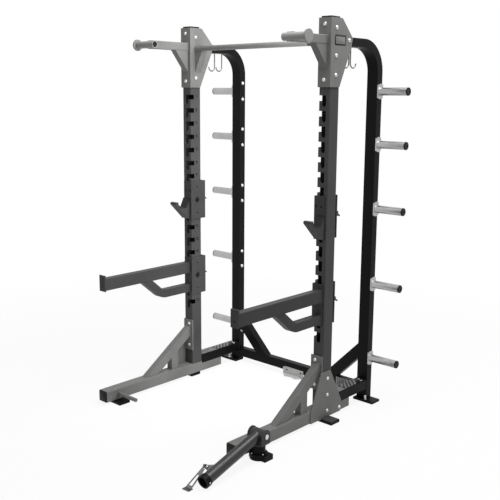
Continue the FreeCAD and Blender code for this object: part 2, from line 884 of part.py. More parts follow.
def make_front_brace(side):
    low, width = span(side, -half_upright - s.brace_plate_overhang, half_upright)
    thick = s.brace_plate_thickness
    base = box(f"brace_plate_{side}", width, thick, s.brace_plate_height,
               low, front - thick, s.brace_plate_base)
    fall = s.brace_top - rail_top
    run = s.brace_reach - thick
    slant = root(fall * fall + run * run)
    cut_along = s.brace_depth * slant / fall
    cut_down = s.brace_depth * slant / run
    start = front - thick
    far = front - s.brace_reach
    outer = (
        (start, s.brace_top),
        (start, s.brace_top - cut_down),
        (far + cut_along, rail_top),
        (far, rail_top),
    )
    brace = plate(f"brace_{side}", "YZ", outer, s.brace_width)
    wall_along = s.brace_wall * slant / fall
    wall_down = s.brace_wall * slant / run
    inner = (
        (start + s.overrun, s.brace_top - wall_down + s.overrun * fall / run),
        (start + s.overrun, s.brace_top - cut_down + wall_down + s.overrun * fall / run),
        (far + cut_along - wall_along - s.overrun * run / fall, rail_top - s.overrun),
        (far + wall_along - s.overrun * run / fall, rail_top - s.overrun),
    )
    hollow = plate(f"brace_hollow_{side}", "YZ", inner, s.brace_width - 2 * s.brace_wall)
    x = centre_of(side)
    place(brace, x - s.brace_width / 2, ZERO, ZERO)
    place(hollow, x - s.brace_width / 2 + s.brace_wall, ZERO, ZERO)
    keep(cut(f"brace_tube_{side}", brace, hollow), f"front_brace_{side}")
    strut_front = front - s.strut_place - s.strut_depth / 2
    strut_rear = strut_front + s.strut_depth
    lower_edge = s.brace_top - cut_down
    steep = fall / run
    strut_points = (
        (strut_front, rail_top),
        (strut_rear, rail_top),
        (strut_rear, lower_edge - (start - strut_rear) * steep),
        (strut_front, lower_edge - (start - strut_front) * steep),
    )
    strut = plate(f"strut_{side}", "YZ", strut_points, s.brace_width)
    place(strut, x - s.brace_width / 2, ZERO, ZERO)
    return base, strut


def make_front_braces():
    plates, struts = [], []
    for side in SIDES:
        base, strut = make_front_brace(side)
        plates.append(base)
        struts.append(strut)
    keep(group("brace_plates", plates), "brace_plates")
    keep(group("brace_struts", struts), "brace_struts")


def make_base_gusset(side):
    """The tall plate that ties the upright, the rail and the rear leg together."""
    points = (
        (-s.gusset_front, rail_base),
        (s.gusset_rear - s.gusset_shoulder / 2, rail_base),
        (s.gusset_rear, rail_base + s.gusset_shoulder / 2),
        (s.gusset_rear, rail_top),
        (s.upright_depth - s.gusset_shoulder, s.gusset_top),
        (-s.gusset_shoulder, s.gusset_top),
        (-s.gusset_front, rail_top),
    )
    half_way = (rail_top.value + s.gusset_top.value) / 2
    body = new_body(f"base_gusset_{side}")
    solid = pad(body, outline(body, "YZ", points), s.plate_thickness)
    rounded(
        body, solid, s.gusset_corner,
        lambda start, end: crosswise(start, end) and start.z > half_way,
    )
    low, _ = span(side, half_upright, half_upright + s.plate_thickness)
    place(body, low, front, ZERO)
    keep(body, f"base_gusset_{side}")


def horn_heights():
    """The lowest horn is just above where the corner brace's lower edge meets the post."""
    lowest = cross_top + s.corner_brace_leg - brace_face + s.horn_lift
    return [lowest + (top_tube_height - lowest) * share for share in HORN_SHARES]


def make_weight_horns(side):
    horns, caps = [], []
    for number, height in enumerate(horn_heights()):
        low, length = span(side, half_upright + s.horn_flange_thickness,
                           half_upright + s.horn_length)
        stem = cylinder(f"horn_{side}_{number}", s.horn_radius, length,
                        low, post_middle, height, "X")
        near, thick = span(side, half_upright, half_upright + s.horn_flange_thickness)
        foot = cylinder(f"horn_foot_{side}_{number}", s.horn_flange, thick,
                        near, post_middle, height, "X")
        flat = s.post_depth
        face = box(f"horn_face_{side}_{number}", thick, flat,
                   2 * s.horn_flange + 2 * s.overrun,
                   near, post_front, height - s.horn_flange - s.overrun)
        trimmed = doc.addObject("Part::Common", f"horn_plate_{side}_{number}")
        trimmed.Base = foot
        trimmed.Tool = face
        horns += [stem, trimmed]
        start = half_upright + s.horn_length
        cap_low, cap_length = span(side, start, start + s.horn_cap_thickness)
        caps.append(cylinder(f"horn_cap_{side}_{number}", s.horn_cap_radius, cap_length,
                             cap_low, post_middle, height, "X"))
    keep(group(f"horns_{side}", horns), f"weight_horns_{side}")
    return caps


def bolt_head(name, x, y, z, direction):
    """A low domed head on the face that the direction leaves."""
    item = doc.addObject("Part::Cone", name)
    bind(item, "Radius1", s.bolt_radius)
    bind(item, "Radius2", s.bolt_tip_radius)
    bind(item, "Height", s.bolt_height)
    turns = {"+X": (Y_AXIS, 90), "-X": (Y_AXIS, -90), "-Y": (X_AXIS, 90), "+Z": (Z_AXIS, 0)}
    axis, angle = turns[direction]
    return place(item, x, y, z, axis, as_size(angle))


def outward(side):
    return "+X" if SIDES[side] > 0 else "-X"


def inward(side):
    return "-X" if SIDES[side] > 0 else "+X"


def make_bolts():
    upper, horn, base = [], [], []
    head_span = s.upright_top - bracket_base
    for side, way in SIDES.items():
        x = centre_of(side)
        for number, share in enumerate(BRACKET_FRONT_SHARES):
            upper.append(bolt_head(f"bracket_front_{side}_{number}", x,
                                   front - s.plate_thickness,
                                   s.upright_top - head_span * share, "-Y"))
        face = half_upright + s.plate_thickness
        for number, share in enumerate(BRACKET_INNER_SHARES):
            upper.append(bolt_head(f"bracket_in_{side}_{number}", x - way * face, middle,
                                   s.upright_top - head_span * share, inward(side)))
        for number, share in enumerate(BRACKET_OUTER_SHARES):
            upper.append(bolt_head(f"bracket_out_{side}_{number}", x + way * face, middle,
                                   s.upright_top - head_span * share, outward(side)))
        upper.append(bolt_head(f"bracket_tail_{side}", x + way * face,
                               front + s.tail_bolt_place, top_tube_height + s.tail_bolt_rise, outward(side)))
        for number, height in enumerate(horn_heights()):
            ends = (-1, 1) if number else (-1,)
            for end in ends:
                horn.append(bolt_head(f"horn_bolt_{side}_{number}_{end}",
                                      x - way * half_upright, post_middle,
                                      height + end * s.horn_bolt_pitch / 2, inward(side)))
        for number, share in enumerate(GUSSET_BOLT_SHARES):
            base.append(bolt_head(f"gusset_bolt_{side}_{number}", x + way * face, middle,
                                  rail_base + (s.gusset_top - rail_base) * share,
                                  outward(side)))
        base.append(bolt_head(f"stub_bolt_{side}", x + way * face,
                              front + s.gusset_rear - s.gusset_shoulder,
                              rail_base + s.stub_height / 2, outward(side)))
        for number, share in enumerate(BRACE_BOLT_SHARES):
            base.append(bolt_head(f"brace_bolt_{side}_{number}", x - way * s.gusset_corner,
                                  front - s.brace_plate_thickness,
                                  s.brace_plate_base + s.brace_plate_height * share, "-Y"))
    keep(group("bracket_bolt_group", upper), "bracket_bolts")
    keep(group("horn_bolt_group", horn), "horn_bolts")
    keep(group("base_bolt_group", base), "base_bolts")


def carriage(name, side, slot_number):
    """The folded carriage round the front, inner side and rear of the upright, with its keys."""
    gap = s.carriage_gap
    thick = s.carriage_thickness
    upper_key = key_height(slot_number)
    height = upper_key - s.slot_pitch / 2 + s.carriage_offset
    base = height - s.carriage_height / 2
    start = half_upright + gap
    front_low, front_width = span(side, -start - thick, s.carriage_front_width - start - thick)
    depth = s.upright_depth + s.carriage_rear + gap + 2 * thick
    face = box(f"{name}_face_{side}", front_width, thick, s.carriage_height,
               front_low, front - gap - thick, base)
    back = box(f"{name}_back_{side}", front_width, thick, s.carriage_height,
               front_low, rear + s.carriage_rear, base)
    cheek_low, cheek_width = span(side, -start - thick, -start)
    cheek = box(f"{name}_cheek_{side}", cheek_width, depth, s.carriage_height,
                cheek_low, front - gap - thick, base)
    window_points = (
        (middle - s.window_width / 2, height),
        (middle, height - s.window_height / 2),
        (middle + s.window_width / 2, height),
        (middle, height + s.window_height / 2),
    )
    window = plate(f"{name}_window_{side}", "YZ", window_points, thick + 2 * s.overrun)
    place(window, cheek_low - s.overrun, ZERO, ZERO)
    radius = s.slot_width / 2 - s.key_clearance
    keys = [
        cylinder(f"{name}_key_{side}_{number}", radius, s.key_depth + gap,
                 centre_of(side), front - gap, upper_key - s.slot_pitch * number, "Y")
        for number in range(2)
    ]
    ears = []
    room = s.latch_width / 2 + s.latch_side_gap
    tail = rear + s.carriage_rear + thick
    pin_height = height + s.latch_height
    for end in (-1, 1):
        low = room if end > 0 else -room - s.latch_ear_thickness
        ear = box(f"{name}_ear_{side}_{end}", s.latch_ear_thickness,
                  s.latch_stand + s.latch_head_radius, 2 * s.latch_head_radius,
                  centre_of(side) + low, tail, pin_height - s.latch_head_radius)
        ears.append(ear)
    hole = cylinder(f"{name}_pin_hole_{side}", s.latch_pin_radius + s.latch_pin_clearance,
                    s.latch_width + 4 * s.latch_ear_thickness,
                    centre_of(side) - s.latch_width / 2 - 2 * s.latch_ear_thickness,
                    tail + s.latch_stand, pin_height, "X")
    whole = fuse(f"{name}_solid_{side}", face, back, cheek, *keys, *ears)
    return cut(f"{name}_carriage_{side}", whole, window, hole), height, base


def key_height(slot_number):
    """Height of the lowest rest of a round key in a slot, counted from the lowest slot."""
    notch = s.slot_first + s.slot_pitch * slot_number
    return notch + s.notch_height / 2 - s.slot_height + s.slot_width / 2


def make_latch(name, side, height):
    """A small sprung thumb latch that turns on a cross pin behind the carriage."""
    tail = rear + s.carriage_rear + s.carriage_thickness
    pin_y = tail + s.latch_stand
    pin_z = height + s.latch_height
    x = centre_of(side)
    head = cylinder(f"{name}_head_{side}", s.latch_head_radius, s.latch_width,
                    x - s.latch_width / 2, pin_y, pin_z, "X")
    reach = s.latch_ear_thickness + s.latch_side_gap
    pin = cylinder(f"{name}_pin_{side}", s.latch_pin_radius, s.latch_width + 2 * reach,
                   x - s.latch_width / 2 - reach, pin_y, pin_z, "X")
    tab_points = (
        (pin_y - s.latch_head_radius, pin_z),
        (pin_y - s.latch_head_radius, pin_z - s.latch_head_radius),
        (pin_y + s.latch_reach - s.latch_pin_radius, pin_z - s.latch_tab),
        (pin_y + s.latch_reach, pin_z - s.latch_tab + s.latch_pin_radius),
        (pin_y + s.latch_head_radius, pin_z),
    )
    tab = plate(f"{name}_tab_{side}", "YZ", tab_points, s.latch_width)
    place(tab, x - s.latch_width / 2, ZERO, ZERO)
    keep(fuse(f"{name}_latch_whole_{side}", head, pin, tab), f"{name}_latch_{side}")


def make_j_hook(side):
    shell, height, base = carriage("j_hook", side, s.hook_slot_count)
    face = front - s.carriage_gap - s.carriage_thickness
    lip = s.cup_lip_thickness
    tip = face - s.cup_reach + s.carriage_thickness
    floor = base + s.cup_floor_height
    lift = s.liner_thickness
    cup_points = (
        (face, base + s.overrun),
        (face - s.liner_thickness * 2, base + s.overrun),
        (tip, base + s.cup_nose_height),
        (tip, base + s.cup_lip_height - s.overrun),
        (tip + s.overrun, base + s.cup_lip_height),
        (tip + lip, base + s.cup_lip_height),
        (tip + lip, floor + lip * 2),
        (tip + lip * 3, floor),
        (face - lip * 2, floor),
        (face, base + s.cup_back_height),
    )
    cup = plate(f"cup_{side}", "YZ", cup_points, s.cup_width)
    place(cup, centre_of(side) - s.cup_width / 2, ZERO, ZERO)
    keep(fuse(f"j_hook_whole_{side}", shell, cup), f"j_hook_{side}")
    liner_points = (
        (tip + lip, base + s.cup_lip_height),
        (tip + lip, floor + lip * 2),
        (tip + lip * 3, floor),
        (face - lip * 2, floor),
        (face, base + s.cup_back_height),
        (face, base + s.cup_back_height + lift * 2),
        (face - lift, base + s.cup_back_height + lift * 2),
        (face - lift, base + s.cup_back_height + lift),
        (face - lip * 2 - lift / 2, floor + lift),
        (tip + lip * 3 + lift * LINER_CORNER_SHARE, floor + lift),
        (tip + lip + lift, floor + lip * 2 + lift * LINER_CORNER_SHARE),
        (tip + lip + lift, base + s.cup_lip_height),
    )
    liner = plate(f"liner_{side}", "YZ", liner_points, s.cup_width)
    place(liner, centre_of(side) - s.cup_width / 2, ZERO, ZERO)
    keep(liner, f"j_hook_liner_{side}")
    make_latch("j_hook", side, height)


def make_safety_arm(side):
    shell, height, base = carriage("safety", side, s.arm_slot_count)
    keep(shell, f"safety_carriage_{side}")
    face = front - s.carriage_gap - s.carriage_thickness
    x = centre_of(side)
    length = s.safety_reach - s.carriage_gap - s.carriage_thickness
    tube = square_tube(f"safety_tube_{side}", s.safety_width, s.safety_height, s.safety_wall,
                       s.safety_wall, length)
    arm_base = base + s.safety_base
    place(tube, x, face, arm_base + s.safety_height / 2, X_AXIS, as_size(90))
    stop = box(f"safety_stop_{side}", s.stop_width, s.stop_thickness, s.stop_height,
               x - s.stop_width / 2, face - length - s.stop_thickness, arm_base - s.overrun)
    keep(fuse(f"safety_whole_{side}", tube, stop), f"safety_arm_{side}")
    first = s.tie_straight - s.carriage_gap - s.carriage_thickness
    axis_height = base + s.tie_base + s.tie_height / 2
    rise = arm_base - axis_height
    curve_rise = s.tie_bend - s.tie_bend * cosine(s.tie_slope)
    second = (rise - curve_rise) / sine(s.tie_slope) + s.tie_height
    tie = bent_tube(f"tie_{side}", s.tie_width, s.tie_height, s.safety_wall,
                    first, second, s.tie_bend, s.tie_slope)
    place(tie, x, face, axis_height, Z_AXIS, as_size(-90))
    over = 4 * s.tie_height
    trim = box(f"tie_trim_{side}", over, s.safety_reach, over,
               x - over / 2, front - s.safety_reach, arm_base)
    keep(cut(f"tie_whole_{side}", tie, trim), f"safety_brace_{side}")
    make_latch("safety", side, height)


def pivot_x():
    return centre_of("right") + s.rail_width / 2 + s.pivot_side


def pivot_y():
    return rail_front + s.pivot_setback


def pivot_z():
    """High enough for the tilted sleeve's collar to rest just on the floor."""
    drop = s.sleeve_length * sine(s.sleeve_tilt) + s.collar_radius * cosine(s.sleeve_tilt)
    return drop + s.yoke_clearance


def neck_top():
    return pivot_z() - s.neck_drop


def make_outrigger():
    """The slab beside the rail, with the fixed disc and neck that the yoke turns on."""
    low, length = span("right", s.rail_width / 2, s.rail_width / 2 + s.outrigger_length)
    slab = box("outrigger_slab", length, s.outrigger_depth, s.outrigger_height,
               low, rail_front + s.outrigger_setback - s.outrigger_depth / 2, ZERO)
    disc = cylinder("turntable", s.turntable_radius,
                    s.outrigger_height + s.turntable_thickness - s.turntable_base,
                    pivot_x(), pivot_y(), s.turntable_base)
    neck = cylinder("neck", s.neck_radius, neck_top() - s.outrigger_height,
                    pivot_x(), pivot_y(), s.outrigger_height)
    keep(fuse("outrigger", slab, disc, neck), "landmine_outrigger")


def swung(label, *shapes):
    """Pieces built round the pivot's upright axis, turned to where the sleeve points."""
    whole = group(f"{label}_swung", shapes)
    place(whole, pivot_x(), pivot_y(), ZERO, Z_AXIS, s.sleeve_swing)
    return keep(whole, label)


def hung(name, item):
    """A piece built along -Y from the cross pin, tilted down about it."""
    whole = group(f"{name}_hung", [item])
    return place(whole, ZERO, ZERO, pivot_z(), X_AXIS, s.sleeve_tilt)


def make_yoke():
    base = neck_top() + s.yoke_clearance
    disc = cylinder("yoke_disc", s.yoke_base_radius, s.yoke_plate, ZERO, ZERO, base)
    width = s.yoke_gap + 2 * s.yoke_ear
    depth = 2 * s.yoke_ear_radius
    floor = base + s.yoke_plate
    pieces = [disc, box("yoke_floor", width, depth, s.yoke_floor, -width / 2, -depth / 2, floor)]
    for end in (-1, 1):
        low = s.yoke_gap / 2 if end > 0 else -width / 2
        wall = box(f"yoke_wall_{end}", s.yoke_ear, depth, pivot_z() - floor,
                   low, -depth / 2, floor)
        crown = cylinder(f"yoke_crown_{end}", s.yoke_ear_radius, s.yoke_ear,
                         low, ZERO, pivot_z(), "X")
        pieces += [wall, crown]
    hole = cylinder("yoke_hole", s.pin_radius, width + 2 * s.overrun,
                    -width / 2 - s.overrun, ZERO, pivot_z(), "X")
    swung("landmine_yoke", cut("yoke", fuse("yoke_solid", *pieces), hole))
    shank = cylinder("pin_shank", s.pin_radius, width, -width / 2, ZERO, pivot_z(), "X")
    heads = [
        cylinder(f"pin_head_{end}", s.pin_head_radius, s.pin_head,
                 width / 2 if end > 0 else -width / 2 - s.pin_head, ZERO, pivot_z(), "X")
        for end in (-1, 1)
    ]
    swung("landmine_pin", fuse("pin_whole", shank, *heads))


def sleeve_cylinder(name, radius, length, distance):
    """A round piece on the sleeve's axis, from a distance outwards."""
    return cylinder(name, radius, length, ZERO, -(distance + length), ZERO, "Y")


def make_sleeve():
    wide = s.yoke_gap - 2 * s.yoke_clearance
    barrel = cylinder("barrel", s.barrel_radius, wide, -wide / 2, ZERO, ZERO, "X")
    shaft = s.sleeve_length - s.collar_length
    tube = sleeve_cylinder("sleeve_tube", s.sleeve_radius, shaft, ZERO)
    bore = sleeve_cylinder("sleeve_bore", s.sleeve_bore, s.sleeve_length, s.sleeve_bore_start)
    hole = cylinder("barrel_hole", s.pin_radius + s.pin_clearance, s.yoke_gap,
                    -s.yoke_gap / 2, ZERO, ZERO, "X")
    bolt = s.sleeve_length - s.lug_place
    eye = s.lug_radius
    web_points = (
        (ZERO, -bolt - eye),
        (s.lug_reach, -bolt - eye),
        (s.lug_reach, eye - bolt),
        (s.sleeve_radius, s.lug_root - bolt),
        (ZERO, s.lug_root - bolt),
    )
    web = plate("lug_web", "XY", web_points, s.lug_thickness)
    place(web, s.lug_thickness / 2 * sine(s.lug_angle), ZERO,
          s.lug_thickness / 2 * cosine(s.lug_angle), Y_AXIS, 180 + s.lug_angle)
    boss = cylinder("lug_eye", eye, s.lug_thickness, -s.lug_side, -bolt, s.lug_rise, "X")
    eye_hole = cylinder("lug_hole", s.lug_bolt_radius + s.pin_clearance,
                        s.lug_thickness + 2 * s.overrun, -s.lug_side - s.overrun,
                        -bolt, s.lug_rise, "X")
    solid = fuse("sleeve_solid", barrel, tube, web, boss)
    sleeve = cut("sleeve", solid, bore, hole, eye_hole)
    swung("landmine_sleeve", hung("sleeve", sleeve))
    ring = sleeve_cylinder("collar_ring", s.collar_radius, s.collar_length, shaft)
    ring_bore = sleeve_cylinder("collar_bore", s.sleeve_bore, s.sleeve_length,
                                shaft - s.overrun)
    swung("landmine_collar", hung("collar", cut("collar", ring, ring_bore)))


def strap_edge(share):
    """How far out the strap's outer edge is, at a share of its length."""
    top = s.lug_side + s.strap_width / 2
    return -top - (s.strap_far - top) * share


def make_stirrup():
    """A pierced strap on the lug's bolt that slopes down to a flat foot on the floor."""
    gap = s.yoke_clearance
    thick = s.strap_thickness
    tilt = s.sleeve_tilt
    bolt = s.sleeve_length - s.lug_place
    bolt_y = -bolt * cosine(tilt) - s.lug_rise * sine(tilt)
    bolt_z = pivot_z() - bolt * sine(tilt) + s.lug_rise * cosine(tilt)
    inner = -s.lug_side - gap
    length = s.strap_length
    shoulder = s.strap_shoulder
    near = -s.strap_near
    points = (
        (strap_edge(ZERO), ZERO),
        (inner, ZERO),
        (inner, -shoulder),
        (near, -shoulder),
        (near, -length),
        (strap_edge(as_size(1)), -length),
    )
    rim = s.strap_rim
    high, low = (as_size(share) for share in STRAP_WINDOW_SHARES)
    window_points = (
        (strap_edge(high) + rim, -length * high),
        (near - rim, -length * high),
        (near - rim, -length * low),
        (strap_edge(low) + rim, -length * low),
    )
    strap = plate("strap", "XY", points, thick)
    place(strap, ZERO, ZERO, -thick / 2)
    window = plate("strap_window", "XY", window_points, 2 * thick)
    place(window, ZERO, ZERO, -thick)
    outer = strap_edge(ZERO)
    knuckle = cylinder("strap_knuckle", s.strap_width / 2, inner - outer, outer, ZERO, ZERO, "X")
    shank = cylinder("strap_bolt", s.lug_bolt_radius, gap + s.lug_thickness,
                     inner, ZERO, ZERO, "X")
    head = cylinder("strap_bolt_head", s.lug_bolt_head, thick, outer - thick,
                    ZERO, ZERO, "X")
    fall = arcsine((bolt_z - gap - thick / 2) / length)
    arm = fuse("strap_arm", cut("strap_open", strap, window), knuckle, shank, head)
    place(arm, ZERO, bolt_y, bolt_z, X_AXIS, fall)
    end_y = bolt_y - length * cosine(fall)
    foot = box("strap_foot", s.strap_foot_width, s.strap_foot_depth, thick,
               strap_edge(as_size(1)), end_y + s.strap_foot_lap - s.strap_foot_depth, gap)
    swung("landmine_stirrup", fuse("stirrup", arm, foot))


def wire_hook(name, x, y, top, way):
    """A straight wire that ends in a half ring, curled along Y."""
    stem = cylinder(f"{name}_stem", s.wire_radius, s.wire_drop, x, y, top - s.wire_drop)
    curl = doc.addObject("Part::Torus", f"{name}_curl")
    bind(curl, "Radius1", s.wire_curl)
    bind(curl, "Radius2", s.wire_radius)
    curl.Angle3 = 180
    half_turn = FreeCAD.Rotation(-Y_AXIS, -Z_AXIS, X_AXIS, "XYZ")
    curl.Placement = FreeCAD.Placement(FreeCAD.Vector(0, 0, 0), half_turn)
    bind(curl, "Placement.Base.x", x)
    bind(curl, "Placement.Base.y", y + s.wire_curl * way)
    bind(curl, "Placement.Base.z", top - s.wire_drop)
    return stem, curl


def make_accessory_hooks():
    """Wire hooks on a small plate under each top tube; two at one place stand side by side."""
    whole = []
    starts = {"left": s.hook_left_setback, "right": s.hook_right_setback}
    for side, wires in WIRE_SHARES.items():
        x = centre_of(side)
        low = top_tube_height - s.post_depth / 2 - s.hook_plate_thickness
        y = post_front - starts[side]
        pieces = [box(f"hook_plate_{side}", s.hook_plate_width, s.hook_plate_length,
                      s.hook_plate_thickness, x - s.hook_plate_width / 2, y, low)]
        paired = wires[0][0] == wires[1][0]
        for number, (share, way) in enumerate(wires):
            aside = s.wire_aside * way if paired else ZERO
            pieces += wire_hook(f"hook_{side}_{number}", x + aside,
                                y + s.hook_plate_length * share, low, way)
        whole.append(fuse(f"hook_whole_{side}", *pieces))
    keep(group("hook_pair", whole), "accessory_hooks")


def tread(side):
    """A ribbed step on top of the rear leg, its ribs set slantwise."""
    margin = s.tread_margin
    width = s.upright_width - 2 * margin
    low = centre_of(side) - width / 2
    start = rear + s.plate_thickness
    base = rail_base + s.stub_height + s.leg_height
    thick = s.tread_thickness
    pieces = [box(f"tread_{side}", width, s.tread_length, thick, low, start, base)]
    pitch = (s.tread_length - width) / TREAD_RIB_COUNT
    for number in range(TREAD_RIB_COUNT):
        near = start + margin + pitch * number
        points = (
            (low, near + width),
            (low + width, near),
            (low + width, near + s.rib_width),
            (low, near + width + s.rib_width),
        )
        rib = plate(f"tread_rib_{side}_{number}", "XY", points, thick)
        pieces.append(place(rib, ZERO, ZERO, base + thick / 2))
    return fuse(f"tread_whole_{side}", *pieces)


def make_cross_tube_fittings():
    """The dock bracket in the middle of the cross tube and the ribbed pad near its end."""
    base = s.dock_base
    thick = s.dock_thickness
    left = -s.dock_width / 2 - s.dock_shift
    right = left + s.dock_width
    face_low = post_front - thick
    face = box("dock_face", s.dock_width, thick, s.dock_height, left, face_low, base)
    flanges = [
        box(f"dock_flange_{end}", thick, s.dock_flange, s.dock_height,
            right - thick if end > 0 else left, face_low - s.dock_flange, base)
        for end in (-1, 1)
    ]
    wave = [(left + s.dock_width * along, face_low - s.dock_lip * deep)
            for along, deep in DOCK_WAVE_SHARES]
    lip_points = [(left, face_low + thick / 2), (left, face_low), *wave,
                  (right, face_low), (right, face_low + thick / 2)]
    lip = plate("dock_lip", "XY", lip_points, thick)
    place(lip, ZERO, ZERO, base)
    holes = [
        cylinder(f"dock_hole_{end}", s.dock_hole_radius, thick + 2 * s.overrun,
                 s.dock_hole_place * end - s.dock_shift, face_low - s.overrun,
                 base + s.dock_height - s.dock_dip - s.dock_hole_radius, "Y")
        for end in (-1, 1)
    ]
    keep(cut("dock", fuse("dock_solid", face, lip, *flanges), *holes), "dock_bracket")
    top = cross_top
    low = post_reach - s.pad_setback - s.pad_width / 2
    pad_base = top - s.pad_height
    backing = box("pad_backing", s.pad_width, s.pad_thickness, s.pad_height,
                  low, post_front - s.pad_thickness, pad_base)
    pieces = [backing]
    pitch = (s.pad_width - s.rib_lean) / RIB_COUNT
    for number in range(RIB_COUNT):
        start = low + pitch * number + (pitch - s.rib_width) / 2
        points = (
            (start + s.rib_lean, pad_base),
            (start + s.rib_lean + s.rib_width, pad_base),
            (start + s.rib_width, pad_base + s.pad_height),
            (start, pad_base + s.pad_height),
        )
        rib = plate(f"rib_{number}", "XZ", points, s.pad_thickness)
        place(rib, ZERO, post_front - s.pad_thickness, ZERO)
        pieces.append(rib)
    treads = [tread(side) for side in SIDES]
    keep(group("ribbed_pads", [fuse("pad_whole", *pieces), *treads]), "ribbed_pad")


def make_levellers():
    feet = []
    for side, way in SIDES.items():
        feet.append(cylinder(f"leveller_{side}", s.leveller_radius, s.leveller_height,
                             centre_of(side) + way * s.leveller_side,
                             post_middle - s.leveller_lead, s.rear_foot_thickness))
    keep(group("leveller_pair", feet), "levelling_bolts")


def make_frame():
    for side in SIDES:
        make_upright(side)
        make_top_bracket(side)
        make_grip_arm(side)
        make_grip_handle(side)
        make_rear_post(side)
        make_base_gusset(side)
    make_caps()
    make_pull_up_bar()
    make_pull_up_gussets()
    make_grip_gussets()
    make_rear_frame()
    make_base()
    make_feet()
    make_front_braces()
    caps = make_weight_horns("left") + make_weight_horns("right")
    keep(group("horn_cap_group", caps), "horn_caps")
    make_bolts()
    make_accessory_hooks()
    make_cross_tube_fittings()
    make_levellers()
    make_outrigger()


def make_moving_pieces():
    for side in SIDES:
        make_j_hook(side)
        make_safety_arm(side)
    make_yoke()
    make_sleeve()
    make_stirrup()


def check_and_write():
    doc.recompute()
    for item in doc.Objects:
        if "Invalid" in item.State or "Error" in item.State:
            raise RuntimeError(f"{item.Name} is {item.State}")
    os.makedirs("parts", exist_ok=True)
    for label, item in nodes.items():
        shape = item.Shape
        if shape.isNull() or not shape.isValid() or not shape.Solids:
            raise RuntimeError(f"{label} has no valid solid")
    for label, item in nodes.items():
        item.Shape.exportStep(f"parts/{label}.step")
    print(len(nodes), "nodes written")


make_frame()
make_moving_pieces()
check_and_write()
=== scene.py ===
import json
import math

import bmesh
import bpy
from mathutils import Matrix, Vector


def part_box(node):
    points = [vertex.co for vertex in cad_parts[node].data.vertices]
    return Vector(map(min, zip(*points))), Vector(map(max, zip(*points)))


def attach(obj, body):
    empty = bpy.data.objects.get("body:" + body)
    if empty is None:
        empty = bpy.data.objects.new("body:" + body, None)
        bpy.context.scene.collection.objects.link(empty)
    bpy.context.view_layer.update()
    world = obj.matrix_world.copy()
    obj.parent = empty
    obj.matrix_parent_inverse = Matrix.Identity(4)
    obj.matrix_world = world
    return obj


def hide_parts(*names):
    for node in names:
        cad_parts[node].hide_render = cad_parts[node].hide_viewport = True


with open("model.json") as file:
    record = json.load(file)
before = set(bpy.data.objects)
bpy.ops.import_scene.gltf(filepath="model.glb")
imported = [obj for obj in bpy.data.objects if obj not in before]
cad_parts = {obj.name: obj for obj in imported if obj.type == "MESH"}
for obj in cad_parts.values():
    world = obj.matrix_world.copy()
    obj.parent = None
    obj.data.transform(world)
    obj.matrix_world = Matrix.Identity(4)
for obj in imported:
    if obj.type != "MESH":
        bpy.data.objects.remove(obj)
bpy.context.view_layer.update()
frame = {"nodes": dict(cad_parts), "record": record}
nodes = frame["nodes"]

# The scene is in metres: X to the right, Y to the rear and Z up. The small pieces are drawn
# in millimetres, and Form.skin turns them into metres.

MM = 0.001
SIDES = ((-1, "left"), (1, "right"))
POST_PLACE = 570.0
UP = (0, 0, 1)
REAR = (0, 1, 0)
FRONT = (0, -1, 0)


def link(obj):
    bpy.context.scene.collection.objects.link(obj)
    return obj


# The camera stands where the photograph was taken from.

CAMERA_PLACE = Vector((3.343, -3.315, 1.947))
CAMERA_YAW = math.radians(42.66)
CAMERA_PITCH = math.radians(11.1)
CAMERA_ROLL = math.radians(0.37)
CAMERA_LENS = 56.8
SENSOR_WIDTH = 36


def make_camera():
    data = bpy.data.cameras.new("camera")
    data.lens = CAMERA_LENS
    data.sensor_width = SENSOR_WIDTH
    data.sensor_fit = "HORIZONTAL"
    camera = link(bpy.data.objects.new("camera", data))
    ahead = Vector((-math.sin(CAMERA_YAW) * math.cos(CAMERA_PITCH),
                    math.cos(CAMERA_YAW) * math.cos(CAMERA_PITCH),
                    -math.sin(CAMERA_PITCH)))
    level = Vector((math.cos(CAMERA_YAW), math.sin(CAMERA_YAW), 0))
    above = level.cross(ahead)
    right = level * math.cos(CAMERA_ROLL) + above * math.sin(CAMERA_ROLL)
    up = above * math.cos(CAMERA_ROLL) - level * math.sin(CAMERA_ROLL)
    turn = Matrix((right, up, -ahead)).transposed().to_4x4()
    camera.matrix_world = Matrix.Translation(CAMERA_PLACE) @ turn
    bpy.context.scene.camera = camera


# Materials. Noises lie in the piece's own metres, so a scale counts features per metre.

MIX_FACTOR, MIX_ONE, MIX_OTHER, MIX_RESULT = 0, 6, 7, 2
BEVEL_SAMPLES = 6
SHARP_TURN = (0.995, 0.90)
NOISE_SPAN = (0.3, 0.7)
NONE_TO_FULL = (0.0, 1.0)


def new_material(name):
    material = bpy.data.materials.new(name)
    material.use_nodes = True
    tree = material.node_tree
    tree.nodes.clear()
    output = tree.nodes.new("ShaderNodeOutputMaterial")
    shader = tree.nodes.new("ShaderNodeBsdfPrincipled")
    tree.links.new(shader.outputs["BSDF"], output.inputs["Surface"])
    return material, tree, shader


def spread_noise(tree, scale, detail, stretch=(1, 1, 1)):
    """A noise in the piece's own coordinates."""
    where = tree.nodes.new("ShaderNodeTexCoord")
    mapping = tree.nodes.new("ShaderNodeMapping")
    mapping.inputs["Scale"].default_value = stretch
    texture = tree.nodes.new("ShaderNodeTexNoise")
    texture.inputs["Scale"].default_value = scale
    texture.inputs["Detail"].default_value = detail
    tree.links.new(where.outputs["Object"], mapping.inputs["Vector"])
    tree.links.new(mapping.outputs["Vector"], texture.inputs["Vector"])
    return texture.outputs["Fac"]


